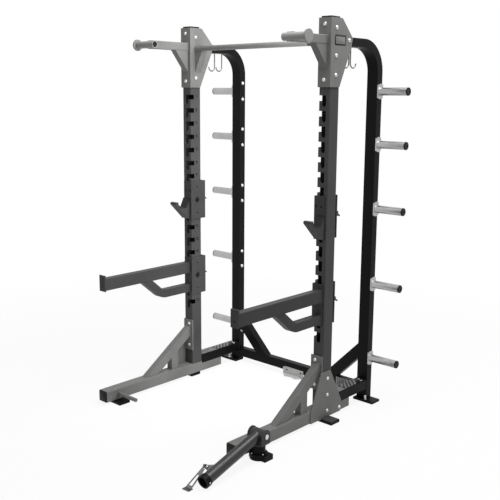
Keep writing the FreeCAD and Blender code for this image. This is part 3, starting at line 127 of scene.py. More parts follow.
def remap(tree, value, source, target):
    """Stretches one range of values over another, and clamps what lies outside."""
    node = tree.nodes.new("ShaderNodeMapRange")
    node.inputs["From Min"].default_value, node.inputs["From Max"].default_value = source
    node.inputs["To Min"].default_value, node.inputs["To Max"].default_value = target
    tree.links.new(value, node.inputs["Value"])
    return node.outputs["Result"]


def arithmetic(tree, operation, one, other):
    node = tree.nodes.new("ShaderNodeMath")
    node.operation = operation
    for socket, value in zip(node.inputs, (one, other)):
        if isinstance(value, (int, float)):
            socket.default_value = value
        else:
            tree.links.new(value, socket)
    return node.outputs["Value"]


def scaled(colour, factor):
    return tuple(min(1.0, c * factor) for c in colour)


def clouded(tree, cloud, colour, stops):
    """The colour, darker or paler with the cloud, by two stops of (place, factor)."""
    ramp = tree.nodes.new("ShaderNodeValToRGB")
    for element, (place, factor) in zip(ramp.color_ramp.elements, stops):
        element.position = place
        element.color = (*scaled(colour, factor), 1)
    tree.links.new(cloud, ramp.inputs["Fac"])
    return ramp.outputs["Color"]


def mix_colours(tree, factor, one, other):
    """Blends one colour's socket towards the other, plain colour, by the factor's socket."""
    node = tree.nodes.new("ShaderNodeMix")
    node.data_type = "RGBA"
    tree.links.new(factor, node.inputs[MIX_FACTOR])
    tree.links.new(one, node.inputs[MIX_ONE])
    node.inputs[MIX_OTHER].default_value = (*other, 1)
    return node.outputs[MIX_RESULT]


def rounded_normal(tree, radius):
    bevel = tree.nodes.new("ShaderNodeBevel")
    bevel.samples = BEVEL_SAMPLES
    bevel.inputs["Radius"].default_value = radius
    return bevel.outputs["Normal"]


def edge_mask(tree, radius):
    """Full where the surface turns sharply, for edges that are partly worn and partly lit by a
    painted highlight.
    """
    surface = tree.nodes.new("ShaderNodeNewGeometry")
    dot = tree.nodes.new("ShaderNodeVectorMath")
    dot.operation = "DOT_PRODUCT"
    tree.links.new(rounded_normal(tree, radius), dot.inputs[0])
    tree.links.new(surface.outputs["Normal"], dot.inputs[1])
    return remap(tree, dot.outputs["Value"], SHARP_TURN, NONE_TO_FULL)


def relief(tree, shader, radius, *bumps):
    """Bumps of (height, strength, distance) on edges rounded by the radius."""
    normal = rounded_normal(tree, radius)
    for height, strength, distance in bumps:
        bump = tree.nodes.new("ShaderNodeBump")
        bump.inputs["Strength"].default_value = strength
        bump.inputs["Distance"].default_value = distance
        tree.links.new(height, bump.inputs["Height"])
        tree.links.new(normal, bump.inputs["Normal"])
        normal = bump.outputs["Normal"]
    tree.links.new(normal, shader.inputs["Normal"])


STEEL = (0.42, 0.42, 0.41)
PAINT_CLOUDS = ((0.32, 0.88), (0.68, 1.12))
PAINT_SWAY = 0.06
PAINT_POLISH = 0.08
PAINT_WORN_HIGHLIT_EDGE = 0.0016
PAINT_EDGE_ROUND = 0.0012
PEEL_DEPTH = 0.0006
WAVE_STRENGTH = 0.05
WAVE_DEPTH = 0.0015
DUST_SPAN = (0.52, 0.78)
DUST_SHARE = 0.22
DUST_TONE = 1.35
RUBBED_AND_HIGHLIT_SPAN = (0.42, 0.66)


def painted(name, colour, roughness, worn_and_highlit_colour=STEEL, wear_and_highlight=0.35, gloss=0.42, peel=0.10):
    """Powder coat: cloudy tone, fine orange peel, and paler edges, partly paint rubbed thin and
    partly a painted highlight.
    """
    material, tree, shader = new_material(name)
    cloud = spread_noise(tree, scale=5.0, detail=4.0)
    tone = clouded(tree, cloud, colour, PAINT_CLOUDS)
    dust = spread_noise(tree, scale=60.0, detail=6.0)
    dusty = remap(tree, dust, DUST_SPAN, NONE_TO_FULL)
    dusty = arithmetic(tree, "MULTIPLY", dusty, DUST_SHARE)
    tone = mix_colours(tree, dusty, tone, scaled(colour, DUST_TONE))
    # In patches along the edges the tone goes towards the bare colour: partly wear, partly a
    # painted highlight.
    rub_and_highlight_noise = spread_noise(tree, scale=34.0, detail=5.0)
    rubbed_and_highlit = remap(tree, rub_and_highlight_noise, RUBBED_AND_HIGHLIT_SPAN, NONE_TO_FULL)
    edge = arithmetic(tree, "MULTIPLY", edge_mask(tree, PAINT_WORN_HIGHLIT_EDGE), rubbed_and_highlit)
    tone = mix_colours(tree, arithmetic(tree, "MULTIPLY", edge, wear_and_highlight), tone, worn_and_highlit_colour)
    tree.links.new(tone, shader.inputs["Base Color"])
    rough = remap(tree, cloud, NOISE_SPAN, (roughness - PAINT_SWAY, roughness + PAINT_SWAY))
    polish = arithmetic(tree, "MULTIPLY", edge, PAINT_POLISH)
    tree.links.new(arithmetic(tree, "SUBTRACT", rough, polish), shader.inputs["Roughness"])
    relief(tree, shader, PAINT_EDGE_ROUND,
           (spread_noise(tree, scale=420.0, detail=2.0), peel, PEEL_DEPTH),
           (spread_noise(tree, scale=30.0, detail=2.0), WAVE_STRENGTH, WAVE_DEPTH))
    shader.inputs["Specular IOR Level"].default_value = gloss
    return material


METAL_CLOUDS = ((0.3, 0.86), (0.7, 1.06))
METAL_SWAY = 0.05
METAL_SCRATCHES = 0.08
METAL_EDGE_ROUND = 0.0008
METAL_GRAIN_STRENGTH = 0.08
METAL_GRAIN_DEPTH = 0.0004
STAIN_SPAN = (0.60, 0.74)
STAIN_SHARES = (0.0, 0.4)
STAIN_TONE = 0.72


def metal(name, colour, roughness, grain=(1, 1, 1)):
    """Plated steel with a fine grain, faint stains and handling marks."""
    material, tree, shader = new_material(name)
    cloud = spread_noise(tree, scale=9.0, detail=4.0)
    tone = clouded(tree, cloud, colour, METAL_CLOUDS)
    stains = spread_noise(tree, scale=130.0, detail=5.0)
    stained = remap(tree, stains, STAIN_SPAN, STAIN_SHARES)
    tone = mix_colours(tree, stained, tone, scaled(colour, STAIN_TONE))
    tree.links.new(tone, shader.inputs["Base Color"])
    shader.inputs["Metallic"].default_value = 1.0
    fine = spread_noise(tree, scale=500.0, detail=3.0, stretch=grain)
    rough = remap(tree, cloud, NOISE_SPAN, (roughness - METAL_SWAY, roughness + METAL_SWAY))
    scratches = arithmetic(tree, "MULTIPLY", fine, METAL_SCRATCHES)
    tree.links.new(arithmetic(tree, "ADD", rough, scratches), shader.inputs["Roughness"])
    relief(tree, shader, METAL_EDGE_ROUND, (fine, METAL_GRAIN_STRENGTH, METAL_GRAIN_DEPTH))
    return material


MOULD_CLOUDS = ((0.3, 0.82), (0.7, 1.2))
MOULD_SWAY = 0.07
MOULD_EDGE_ROUND = 0.001
MOULD_GRAIN_DEPTH = 0.0005
SCUFF_STRETCH = (1, 1, 3)
SCUFF_SPAN = (0.58, 0.72)
SCUFF_SHARES = (0.0, 0.35)
SCUFF_TONE = 2.0


def moulded(name, colour, roughness, grain=700.0, relief_strength=0.22, shine=0.3):
    """Moulded plastic or rubber: leathery grain and dull scuffs."""
    material, tree, shader = new_material(name)
    cloud = spread_noise(tree, scale=12.0, detail=4.0)
    tone = clouded(tree, cloud, colour, MOULD_CLOUDS)
    marks = spread_noise(tree, scale=75.0, detail=6.0, stretch=SCUFF_STRETCH)
    scuffed = remap(tree, marks, SCUFF_SPAN, SCUFF_SHARES)
    tone = mix_colours(tree, scuffed, tone, scaled(colour, SCUFF_TONE))
    tree.links.new(tone, shader.inputs["Base Color"])
    rough = remap(tree, cloud, NOISE_SPAN, (roughness - MOULD_SWAY, roughness + MOULD_SWAY))
    tree.links.new(rough, shader.inputs["Roughness"])
    relief(tree, shader, MOULD_EDGE_ROUND,
           (spread_noise(tree, scale=grain, detail=2.0), relief_strength, MOULD_GRAIN_DEPTH))
    shader.inputs["Specular IOR Level"].default_value = shine
    return material


# The worn edges' colour and share in each recipe also set the painted highlight along the edges.
RECIPES = {
    "gray_paint": (painted, {"colour": (0.152, 0.152, 0.149), "roughness": 0.46, "gloss": 0.22}),
    "charcoal_paint": (painted, {"colour": (0.056, 0.056, 0.056), "roughness": 0.44,
                                 "wear_and_highlight": 0.3, "gloss": 0.12}),
    "black_paint": (painted, {"colour": (0.004, 0.004, 0.004), "roughness": 0.42,
                              "worn_and_highlit_colour": (0.10, 0.10, 0.10), "wear_and_highlight": 0.22, "gloss": 0.08}),
    "hook_paint": (painted, {"colour": (0.044, 0.044, 0.044), "roughness": 0.46,
                             "wear_and_highlight": 0.3, "gloss": 0.12}),
    "sleeve_paint": (painted, {"colour": (0.014, 0.014, 0.014), "roughness": 0.37,
                               "wear_and_highlight": 0.3, "gloss": 0.42, "peel": 0.02}),
    "handle_paint": (painted, {"colour": (0.25, 0.25, 0.246), "roughness": 0.46,
                               "gloss": 0.22}),
    "silver_paint": (painted, {"colour": (0.36, 0.36, 0.355), "roughness": 0.36,
                               "worn_and_highlit_colour": (0.6, 0.6, 0.6)}),
    "horn_steel": (metal, {"colour": (0.45, 0.45, 0.45), "roughness": 0.27,
                           "grain": (30, 1, 1)}),
    "bright_chrome": (metal, {"colour": (0.20, 0.20, 0.20), "roughness": 0.16}),
    "zinc": (metal, {"colour": (0.62, 0.62, 0.61), "roughness": 0.22}),
    "black_plastic": (moulded, {"colour": (0.006, 0.006, 0.006), "roughness": 0.5,
                                "shine": 0.15}),
    "liner_plastic": (moulded, {"colour": (0.012, 0.012, 0.012), "roughness": 0.42,
                                "grain": 520.0, "relief_strength": 0.3, "shine": 0.2}),
    "gray_rubber": (moulded, {"colour": (0.17, 0.17, 0.17), "roughness": 0.6,
                              "grain": 380.0, "relief_strength": 0.35, "shine": 0.2}),
}
FINISHES = {name: recipe(name, **settings) for name, (recipe, settings) in RECIPES.items()}

# Nodes whose paint is glossier, darker or paler than the rest of their slot.
OTHER_FINISH = {
    "landmine_sleeve": "sleeve_paint",
    "landmine_collar": "black_paint",
    "grip_handle_left": "handle_paint",
    "grip_handle_right": "handle_paint",
}
SLOT_OF = {part["node"]: part["material_slot"] for part in frame["record"]["subparts"]}


def dress_nodes():
    for name, obj in nodes.items():
        finish = FINISHES[OTHER_FINISH.get(name, SLOT_OF[name])]
        if not obj.material_slots:
            obj.data.materials.append(finish)
        for place in obj.material_slots:
            place.material = finish


# The tools for the small pieces that the solids leave plain.

ROUND_SIDES = 24
HEX_SIDES = 6
BEAD_SIDES = 8
BEAD_STEP = 3.2
BEAD_WAIST = 0.82
BEAD_END = 0.5
RING_POINTS = 20
CORNER_PARTS = 4
SHARPEST_CORNER = 0.05
EASED_INSET = 0.4
EASED_DROP = 0.25
SHARP_ANGLE = math.radians(38)
STEEP = 0.9
SPOTS_PER_MM = 20
SAME_LEVEL = 0.1


def basis(direction):
    """Two directions square to the one given, and the direction itself at length one."""
    ahead = Vector(direction).normalized()
    helper = Vector(UP) if abs(ahead.z) < STEEP else Vector(REAR)
    across = helper.cross(ahead).normalized()
    return across, ahead.cross(across), ahead


def turns(count):
    """The angles that share out a full turn."""
    return [2 * math.pi * index / count for index in range(count)]


def six_sided(radius, angle):
    """The distance to a hexagon's edge at an angle, for corners at the radius."""
    part = math.pi / HEX_SIDES
    return radius * math.cos(part) / math.cos((angle % (2 * part)) - part)


def set_piece(name, mesh, slot, body, stands_for=()):
    """Puts a finished mesh in the scene, on its body, and hides the nodes it stands for."""
    mesh.materials.append(FINISHES[slot])
    piece = link(bpy.data.objects.new(name, mesh))
    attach(piece, body)
    if stands_for:
        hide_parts(*stands_for)


class Form:
    """Closed skins gathered into one mesh. Every shape is given in millimetres."""

    def __init__(self):
        self.points = []
        self.faces = []
        self.smooth = []

    def skin(self, rings, smooth=True, ends=True):
        """Joins rings of equal length, and closes the first and the last, or runs round."""
        start = len(self.points)
        count = len(rings[0])
        for ring in rings:
            self.points += [Vector(point) * MM for point in ring]
        for level in range(len(rings) - 1 if ends else len(rings)):
            low = start + level * count
            high = start + (level + 1) % len(rings) * count
            for index in range(count):
                after = (index + 1) % count
                self.faces.append((low + index, low + after, high + after, high + index))
                self.smooth.append(smooth)
        if ends:
            last = start + (len(rings) - 1) * count
            self.faces.append(tuple(reversed(range(start, start + count))))
            self.faces.append(tuple(range(last, last + count)))
            self.smooth += [False, False]

    def turned(self, place, direction, profile):
        """A lathe shape: (radius, height) or (radius, height, "hex") from the base up."""
        across, up, ahead = basis(direction)
        rings = []
        for radius, height, *hexagon in profile:
            ring = []
            for angle in turns(ROUND_SIDES):
                reach = six_sided(radius, angle) if hexagon else radius
                ring.append(Vector(place) + ahead * height
                            + across * (reach * math.cos(angle))
                            + up * (reach * math.sin(angle)))
            rings.append(ring)
        self.skin(rings)

    def bead(self, points, radius, closed=False):
        """A weld laid along a line in overlapping drops."""
        line = [Vector(point) for point in points]
        if closed:
            line.append(line[0])
        spots = []
        for start, end in zip(line, line[1:]):
            pieces = max(2, round((end - start).length / BEAD_STEP * 2))
            for index in range(pieces):
                spots.append((start.lerp(end, index / pieces), end - start))
        spots.append((line[-1], line[-1] - line[-2]))
        rings = []
        for number, (spot, heading) in enumerate(spots):
            across, up, _ = basis(heading)
            swell = radius * (1.0 if number % 2 else BEAD_WAIST)
            if number in (0, len(spots) - 1) and not closed:
                swell *= BEAD_END
            rings.append([spot + across * (swell * math.cos(turn)) + up * (swell * math.sin(turn))
                          for turn in turns(BEAD_SIDES)])
        self.skin(rings)

    def tile(self, centre, direction, upwards, size, corner, edge):
        """A plate of (width, height, thickness) on the centre of its back, its edges eased."""
        width, height, thickness = size
        ahead = Vector(direction).normalized()
        up = Vector(upwards).normalized()
        across = up.cross(ahead)
        rings = []
        for inset, level in ((edge, 0), (0, edge), (0, thickness - edge),
                             (edge * EASED_INSET, thickness - edge * EASED_DROP),
                             (edge, thickness)):
            ring = []
            for quarter, (side_x, side_y) in enumerate(((1, 1), (-1, 1), (-1, -1), (1, -1))):
                for part in range(CORNER_PARTS + 1):
                    angle = math.pi / 2 * (quarter + part / CORNER_PARTS)
                    reach = max(corner - inset, SHARPEST_CORNER)
                    x = side_x * (width / 2 - corner) + reach * math.cos(angle)
                    y = side_y * (height / 2 - corner) + reach * math.sin(angle)
                    ring.append(Vector(centre) + across * x + up * y + ahead * level)
            rings.append(ring)
        self.skin(rings)

    def finish(self, name, slot, body="frame", stands_for=()):
        mesh = bpy.data.meshes.new(name)
        mesh.from_pydata([tuple(point) for point in self.points], [], self.faces)
        for face, smooth in zip(mesh.polygons, self.smooth):
            face.use_smooth = smooth
        shell = bmesh.new()
        shell.from_mesh(mesh)
        bmesh.ops.recalc_face_normals(shell, faces=shell.faces)
        shell.to_mesh(mesh)
        shell.free()
        mesh.set_sharp_from_angle(angle=SHARP_ANGLE)
        set_piece(name, mesh, slot, body, stands_for)


def extent(points):
    """The lowest and the highest corner round some points."""
    low = Vector([min(point[axis] for point in points) for axis in range(3)])
    high = Vector([max(point[axis] for point in points) for axis in range(3)])
    return low, high


def box_of(node):
    """A node's corners, in millimetres."""
    low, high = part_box(node)
    return Vector(low) / MM, Vector(high) / MM


def solids_of(node):
    """Each separate solid of a node: its points, in millimetres."""
    mesh = nodes[node].data
    spot_of = {}
    group = {}

    def top(key):
        while group[key] != key:
            group[key] = group[group[key]]
            key = group[key]
        return key

    keys = []
    for vertex in mesh.vertices:
        spot = vertex.co / MM
        key = tuple(round(value * SPOTS_PER_MM) for value in spot)
        spot_of[key] = spot
        group.setdefault(key, key)
        keys.append(key)
    for edge in mesh.edges:
        one, other = (top(keys[index]) for index in edge.vertices)
        group[one] = other
    solids = {}
    for key in spot_of:
        solids.setdefault(top(key), []).append(spot_of[key])
    return [solids[key] for key in sorted(solids)]


def stud(points):
    """Where a round solid starts and which way it points: it narrows upwards."""
    low, high = extent(points)
    size = high - low
    axis = min(range(3), key=lambda number: size[number])
    middle = (low + high) / 2
    spread = {}
    for end in (low, high):
        near = [point for point in points if abs(point[axis] - end[axis]) < SAME_LEVEL]
        spread[end[axis]] = max(
            math.hypot(*(point[other] - middle[other] for other in range(3) if other != axis))
            for point in near
        )
    base, tip = sorted((low[axis], high[axis]), key=lambda value: -spread[value])
    direction = Vector((0, 0, 0))
    direction[axis] = 1 if tip > base else -1
    start = middle.copy()
    start[axis] = base
    return start, direction


def outward(way, low, high):
    """The coordinate of a box's outer face, and of its inner face, on one side of the rack."""
    return (high.x, low.x) if way > 0 else (low.x, high.x)


# Fasteners and plugs.

BUTTON_HEAD = (
    (12.0, 0.0), (12.0, 1.2), (11.5, 1.6), (10.3, 1.6), (10.3, 2.2), (10.0, 3.6), (9.0, 5.2),
    (7.4, 6.3), (5.4, 6.9), (3.9, 7.0), (3.7, 6.8, "hex"), (3.6, 4.2, "hex"), (0.4, 4.2, "hex"),
)
HORN_CAP = (
    (24.5, 0.0), (24.5, 5.2), (24.0, 6.8), (22.4, 7.8), (20.0, 8.0), (7.0, 8.0), (6.2, 7.4),
    (5.4, 6.6), (0.5, 6.6),
)
GRIP_PLUG = ((17.8, 0.0), (17.8, 3.2), (17.0, 4.2), (14.5, 4.4), (13.6, 3.4), (0.5, 3.4))
GRIP_PLUG_DEPTH = 6.0
STUB_WALL = 4.2
STUB_PLUG_DEPTH = 5.0
STUB_PLUG_THICKNESS = 4.6


def make_bolts():
    for node in ("bracket_bolts", "horn_bolts", "base_bolts"):
        form = Form()
        for points in solids_of(node):
            start, direction = stud(points)
            form.turned(start, direction, BUTTON_HEAD)
        form.finish(f"{node}_heads", "zinc", stands_for=(node,))


def make_horn_caps():
    form = Form()
    for points in solids_of("horn_caps"):
        low, high = extent(points)
        middle = (low + high) / 2
        way = 1 if middle.x > 0 else -1
        start = outward(way, low, high)[1]
        form.turned((start, middle.y, middle.z), (way, 0, 0), HORN_CAP)
    form.finish("horn_cap_plugs", "black_plastic", stands_for=("horn_caps",))


def make_end_plugs():
    """Moulded plugs in the open ends of the uprights, the rails and the rear stubs."""
    tops, fronts, stubs = Form(), Form(), Form()
    for points in solids_of("upright_caps"):
        low, high = extent(points)
        middle = (low + high) / 2
        tops.tile((middle.x, middle.y, low.z), UP, REAR, high - low, corner=8.0, edge=3.0)
    tops.finish("upright_plugs", "black_plastic", stands_for=("upright_caps",))
    for points in solids_of("rail_end_caps"):
        low, high = extent(points)
        middle = (low + high) / 2
        size = high - low
        fronts.tile((middle.x, high.y, middle.z), FRONT, UP, (size.x, size.z, size.y),
                    corner=6.0, edge=2.0)
    fronts.finish("rail_plugs", "black_plastic", stands_for=("rail_end_caps",))
    for points in solids_of("rear_stubs"):
        low, high = extent(points)
        middle = (low + high) / 2
        size = high - low
        stubs.tile((middle.x, high.y - STUB_PLUG_DEPTH, middle.z), REAR, UP,
                   (size.x - 2 * STUB_WALL, size.z - 2 * STUB_WALL, STUB_PLUG_THICKNESS),
                   corner=1.5, edge=0.8)
    stubs.finish("stub_plugs", "black_plastic")


def make_grip_plugs():
    """Hollow plugs in the inner ends of the grip handles."""
    form = Form()
    for way, side in SIDES:
        low, high = box_of(f"grip_handle_{side}")
        middle = (low + high) / 2
        inner = outward(way, low, high)[1]
        form.turned((inner + way * GRIP_PLUG_DEPTH, middle.y, middle.z), (-way, 0, 0), GRIP_PLUG)
    form.finish("grip_plugs", "black_plastic")


# The brackets' bare panels and the slots' numbers.

PANEL_SETBACK = 81.5
PANEL_HEIGHT = 2252.0
# The black bed under each plate: its rim is painted shade in the recess.
PANEL_SHADE_BED_DEPTH = 1.9
PANEL_SHADE_BED = (99.0, 54.0, 0.8)
PANEL_FACE_DEPTH = 1.2
PANEL_FACE = (85.0, 41.0, 0.9)

SLOT_COUNT = 17
SLOT_FIRST = 541.0
SLOT_PITCH = 87.0
DIGIT_HEIGHT = 19.0
DIGIT_SETBACK = 51.0
DIGIT_RISE = 5.0
DIGIT_SINK = 0.2
DIGIT_BOLDNESS = 1.1
DIGIT_THICKNESS = 0.3
DIGIT_CURVE_PARTS = 2
FONT_DIGIT_SHARE = 0.7


def make_bracket_panels():
    """A bare plate with an eased edge in each bracket's shallow recess, on a black bed whose rim
    round the plate is painted shade in the recess.
    """
    shade_beds, faces = Form(), Form()
    middle_y = box_of("upright_left")[0].y + PANEL_SETBACK
    for way, side in SIDES:
        outer = outward(way, *box_of(f"top_bracket_{side}"))[0]
        shade_beds.tile((outer - way * PANEL_SHADE_BED_DEPTH, middle_y, PANEL_HEIGHT), (way, 0, 0), UP,
                  PANEL_SHADE_BED, corner=6.0, edge=0.3)
        faces.tile((outer - way * PANEL_FACE_DEPTH, middle_y, PANEL_HEIGHT), (way, 0, 0), UP,
                   PANEL_FACE, corner=4.0, edge=0.3)
    shade_beds.finish("bracket_panel_shade_beds", "black_plastic")
    faces.finish("bracket_panel_faces", "gray_paint")


def make_slot_numbers():
    """Plain raised numbers beside the slots, counted from the top."""
    font = bpy.data.curves.new("digits", "FONT")
    font.size = DIGIT_HEIGHT / FONT_DIGIT_SHARE * MM
    font.align_x = "CENTER"
    font.align_y = "CENTER"
    font.resolution_u = DIGIT_CURVE_PARTS
    font.offset = DIGIT_BOLDNESS * MM
    font.extrude = DIGIT_THICKNESS * MM
    holder = link(bpy.data.objects.new("digits", font))
    points, faces = [], []
    for way, side in SIDES:
        low, high = box_of(f"upright_{side}")
        inner = outward(way, low, high)[1]
        for number in range(SLOT_COUNT):
            font.body = str(SLOT_COUNT - number)
            bpy.context.view_layer.update()
            text = holder.evaluated_get(bpy.context.evaluated_depsgraph_get()).to_mesh()
            start = len(points)
            height = SLOT_FIRST + SLOT_PITCH * number + DIGIT_RISE
            for vertex in text.vertices:
                x, y, z = (value / MM for value in vertex.co)
                points.append(Vector((inner - way * (z + DIGIT_SINK),
                                      low.y + DIGIT_SETBACK - way * x, height + y)) * MM)
            for polygon in text.polygons:
                faces.append(tuple(start + index for index in polygon.vertices))
            holder.to_mesh_clear()
    bpy.data.objects.remove(holder)
    mesh = bpy.data.meshes.new("slot_numbers")
    mesh.from_pydata([tuple(point) for point in points], [], faces)
    set_piece("slot_numbers", mesh, "black_plastic", "frame")


# The treads on the rear legs, and the painted highlight on the middle feet's tops.

TREAD_START = 550.5
TREAD_LEAD = 1.0
TREAD_RIBS_END = 668.0
TREAD_END = 776.0
TREAD_WIDTH = 68.0
TREAD_THICKNESS = 2.4
TREAD_PITCH = 31.5
TREAD_RIB = 20.0
TREAD_RIB_LEVELS = (2.0, 3.3)
TREAD_BASE = 139.0
TREAD_SCREW_PLACES = ((-6.0, 752.0), (20.0, 740.0))
TREAD_SCREW = (
    (9.0, -0.5), (9.0, 0.8), (8.2, 2.4), (6.0, 3.3), (3.6, 3.4), (3.4, 3.2, "hex"),
    (3.3, 1.2, "hex"), (0.3, 1.2, "hex"),
)
# The paler plates on the middle feet's tops are painted highlight.
FOOT_HIGHLIGHT_MARGIN = 3.0
FOOT_HIGHLIGHT_GAP = 2.0
FOOT_HIGHLIGHT_THICKNESS = 1.2


def make_tread_plates():
    """The ribbed step goes on to the rear post: slanting ribs, then a bare end with screws."""
    for way, side in SIDES:
        x = way * POST_PLACE
        low = x - TREAD_WIDTH / 2
        base = Form()
        base.tile((x, (TREAD_START + TREAD_END) / 2, TREAD_BASE), UP, REAR,
                  (TREAD_WIDTH, TREAD_END - TREAD_START, TREAD_THICKNESS), corner=2.0, edge=0.8)
        base.finish(f"tread_plate_{side}", "black_plastic")
        ribs = Form()
        near = TREAD_START + TREAD_LEAD - TREAD_PITCH * int(TREAD_WIDTH / TREAD_PITCH)
        while near + TREAD_RIB < TREAD_RIBS_END:
            reach = min(TREAD_WIDTH, near + TREAD_WIDTH - TREAD_START)
            flat = [(low, near + TREAD_WIDTH), (low + reach, near + TREAD_WIDTH - reach),
                    (low + reach, near + TREAD_WIDTH - reach + TREAD_RIB),
                    (low, near + TREAD_WIDTH + TREAD_RIB)]
            ribs.skin([[(*point, TREAD_BASE + level) for point in flat]
                       for level in TREAD_RIB_LEVELS], smooth=False)
            near += TREAD_PITCH
        ribs.finish(f"tread_ribs_{side}", "gray_rubber")
        hole_shades = Form()
        for aside, place in TREAD_SCREW_PLACES:
            hole_shades.turned((x + aside, place, TREAD_BASE + TREAD_THICKNESS), UP, TREAD_SCREW)
        hole_shades.finish(f"tread_screws_{side}", "zinc")


def make_foot_top_highlights():
    """A thin paler plate on each middle foot's top, where it shows beside the gusset: a painted
    highlight on the black foot's top.
    """
    form = Form()
    for way, side in SIDES:
        post_low, post_high = box_of(f"upright_{side}")
        gusset = outward(way, *box_of(f"base_gusset_{side}"))[0]
        for points in solids_of("feet"):
            low, high = extent(points)
            middle = (low + high) / 2
            if middle.x * way > 0 and post_low.y < middle.y < post_high.y:
                near = gusset + way * FOOT_HIGHLIGHT_GAP
                far = outward(way, low, high)[0] - way * FOOT_HIGHLIGHT_MARGIN
                form.tile(((near + far) / 2, middle.y, high.z), UP, REAR,
                          (abs(far - near), high.y - low.y - 2 * FOOT_HIGHLIGHT_MARGIN,
                           FOOT_HIGHLIGHT_THICKNESS), corner=4.0, edge=0.5)
    form.finish("foot_top_highlights", "charcoal_paint")


# The bar sleeve's screws and bolts, and the levelling bolts.

SMALL_SCREW = (
    (5.0, -0.5), (5.0, 0.9), (4.4, 1.5), (2.7, 1.6), (2.5, 1.4, "hex"), (2.4, 0.2, "hex"),
    (0.3, 0.2, "hex"),
)
SLEEVE_ACROSS = Vector((0.998, 0.061, 0.0))
COLLAR_RADIUS = 36.0
STIRRUP_PIVOT = Vector((637.06, -706.5, 82.7))
STIRRUP_NUT_PLACE = 11.6
STIRRUP_NUT = (
    (9.0, 0.0), (9.0, 1.2), (8.2, 1.4, "hex"), (8.2, 5.0, "hex"), (7.4, 5.8), (5.4, 5.9),
    (4.6, 7.0), (0.4, 7.2),
)
STIRRUP_HEAD_PLACE = 3.8
STIRRUP_HEAD = ((8.0, 0.0), (8.0, 0.8), (7.5, 3.0), (6.4, 4.4), (4.2, 4.8), (0.4, 4.8))
OUTRIGGER_BOLT_TURNS = (74, 164, 254, 344)
OUTRIGGER_BOLT_CIRCLE = 43.61
OUTRIGGER_BOLT_HEIGHT = 39.0
OUTRIGGER_BOLT = (
    (5.2, -0.5), (5.2, 0.8), (4.6, 0.9, "hex"), (4.6, 3.6, "hex"), (3.9, 4.2), (0.4, 4.2),
)
LEVELLING_FOOT = ((12.0, 0.0), (12.0, 1.4), (8.0, 1.5, "hex"), (8.0, 6.6, "hex"))
LEVELLING_TOP = ((5.6, -7.6), (8.0, -7.5, "hex"), (8.0, -0.8, "hex"), (7.0, 0.0), (0.5, 0.0))
THREAD_COUNT = 8
THREAD_START = 7.0
THREAD_SPARE = 15.0
THREAD_ROOT = 5.6
THREAD_CREST = 6.6


def make_sleeve_details():
    """The set screw in the sleeve's collar and the bolt that the stirrup hangs on."""
    low, high = box_of("landmine_collar")
    collar = Form()
    collar.turned((low + high) / 2 + SLEEVE_ACROSS * COLLAR_RADIUS, SLEEVE_ACROSS, SMALL_SCREW)
    collar.finish("collar_screw", "zinc", "sleeve")
    bolt = Form()
    bolt.turned(STIRRUP_PIVOT + SLEEVE_ACROSS * STIRRUP_NUT_PLACE, SLEEVE_ACROSS, STIRRUP_NUT)
    bolt.turned(STIRRUP_PIVOT - SLEEVE_ACROSS * STIRRUP_HEAD_PLACE, -SLEEVE_ACROSS, STIRRUP_HEAD)
    bolt.finish("stirrup_bolt_set", "zinc", "stirrup")


def make_outrigger_bolts():
    """Hex bolts round the fixed disc under the yoke."""
    low, high = box_of("landmine_pin")
    middle = (low + high) / 2
    form = Form()
    for turn in OUTRIGGER_BOLT_TURNS:
        angle = math.radians(turn)
        form.turned((middle.x + OUTRIGGER_BOLT_CIRCLE * math.cos(angle),
                     middle.y + OUTRIGGER_BOLT_CIRCLE * math.sin(angle),
                     OUTRIGGER_BOLT_HEIGHT), UP, OUTRIGGER_BOLT)
    form.finish("outrigger_bolts", "zinc")


def levelling_profile(height):
    """A round pad, a nut, a threaded shank and a second nut, from the floor up."""
    threaded = height - THREAD_SPARE
    threads = []
    for number in range(THREAD_COUNT):
        at = THREAD_START + number * threaded / THREAD_COUNT
        threads += [(THREAD_ROOT, at), (THREAD_CREST, at + threaded / THREAD_COUNT / 2)]
    top = [(radius, height + level, *hexagon) for radius, level, *hexagon in LEVELLING_TOP]
    return (*LEVELLING_FOOT, *threads, *top)


def make_levelling_bolts():
    form = Form()
    for points in solids_of("levelling_bolts"):
        low, high = extent(points)
        middle = (low + high) / 2
        form.turned((middle.x, middle.y, low.z), UP, levelling_profile(high.z - low.z))
    form.finish("levelling_bolt_sets", "zinc", stands_for=("levelling_bolts",))


# What the hook and safety carriages carry.

WINDOW_HALF_WIDTH = 23.0
WINDOW_HALF_HEIGHT = 26.0
# The window's black ring as (inset, depth): painted shade inside the window.
WINDOW_SHADE_RING = ((0.4, 7.2), (0.4, 1.0), (1.4, 0.4), (13.0, 0.4), (13.8, 1.2), (13.8, 7.2))
CARRIAGE_FRONT = 9.0
# Black discs at the carriages' holes, in the cheeks and on the hooks' fronts: painted shade in
# the holes.
CHEEK_HOLE_SHADE_RISES = (-88.0, 88.0)
HOLE_SHADE = ((7.5, -0.5), (7.5, 0.5), (6.9, 1.0), (5.4, 1.0), (5.0, 0.2), (0.4, 0.2))
HOLE_SHADE_ASIDES = (-33.0, 5.0)
HOLE_SHADE_RISE = 66.0
ARM_SCREW = ((7.0, -0.5), (7.0, 0.3), (6.4, 0.6), (4.0, 0.6), (3.6, 0.3), (0.5, 0.3))
ARM_SCREW_RISE = 36.0


def carriages(side):
    """The hook's and the safety arm's carriage on one side: the node and its body."""
    return ((f"j_hook_{side}", f"{side}_hook"), (f"safety_carriage_{side}", f"{side}_safety"))


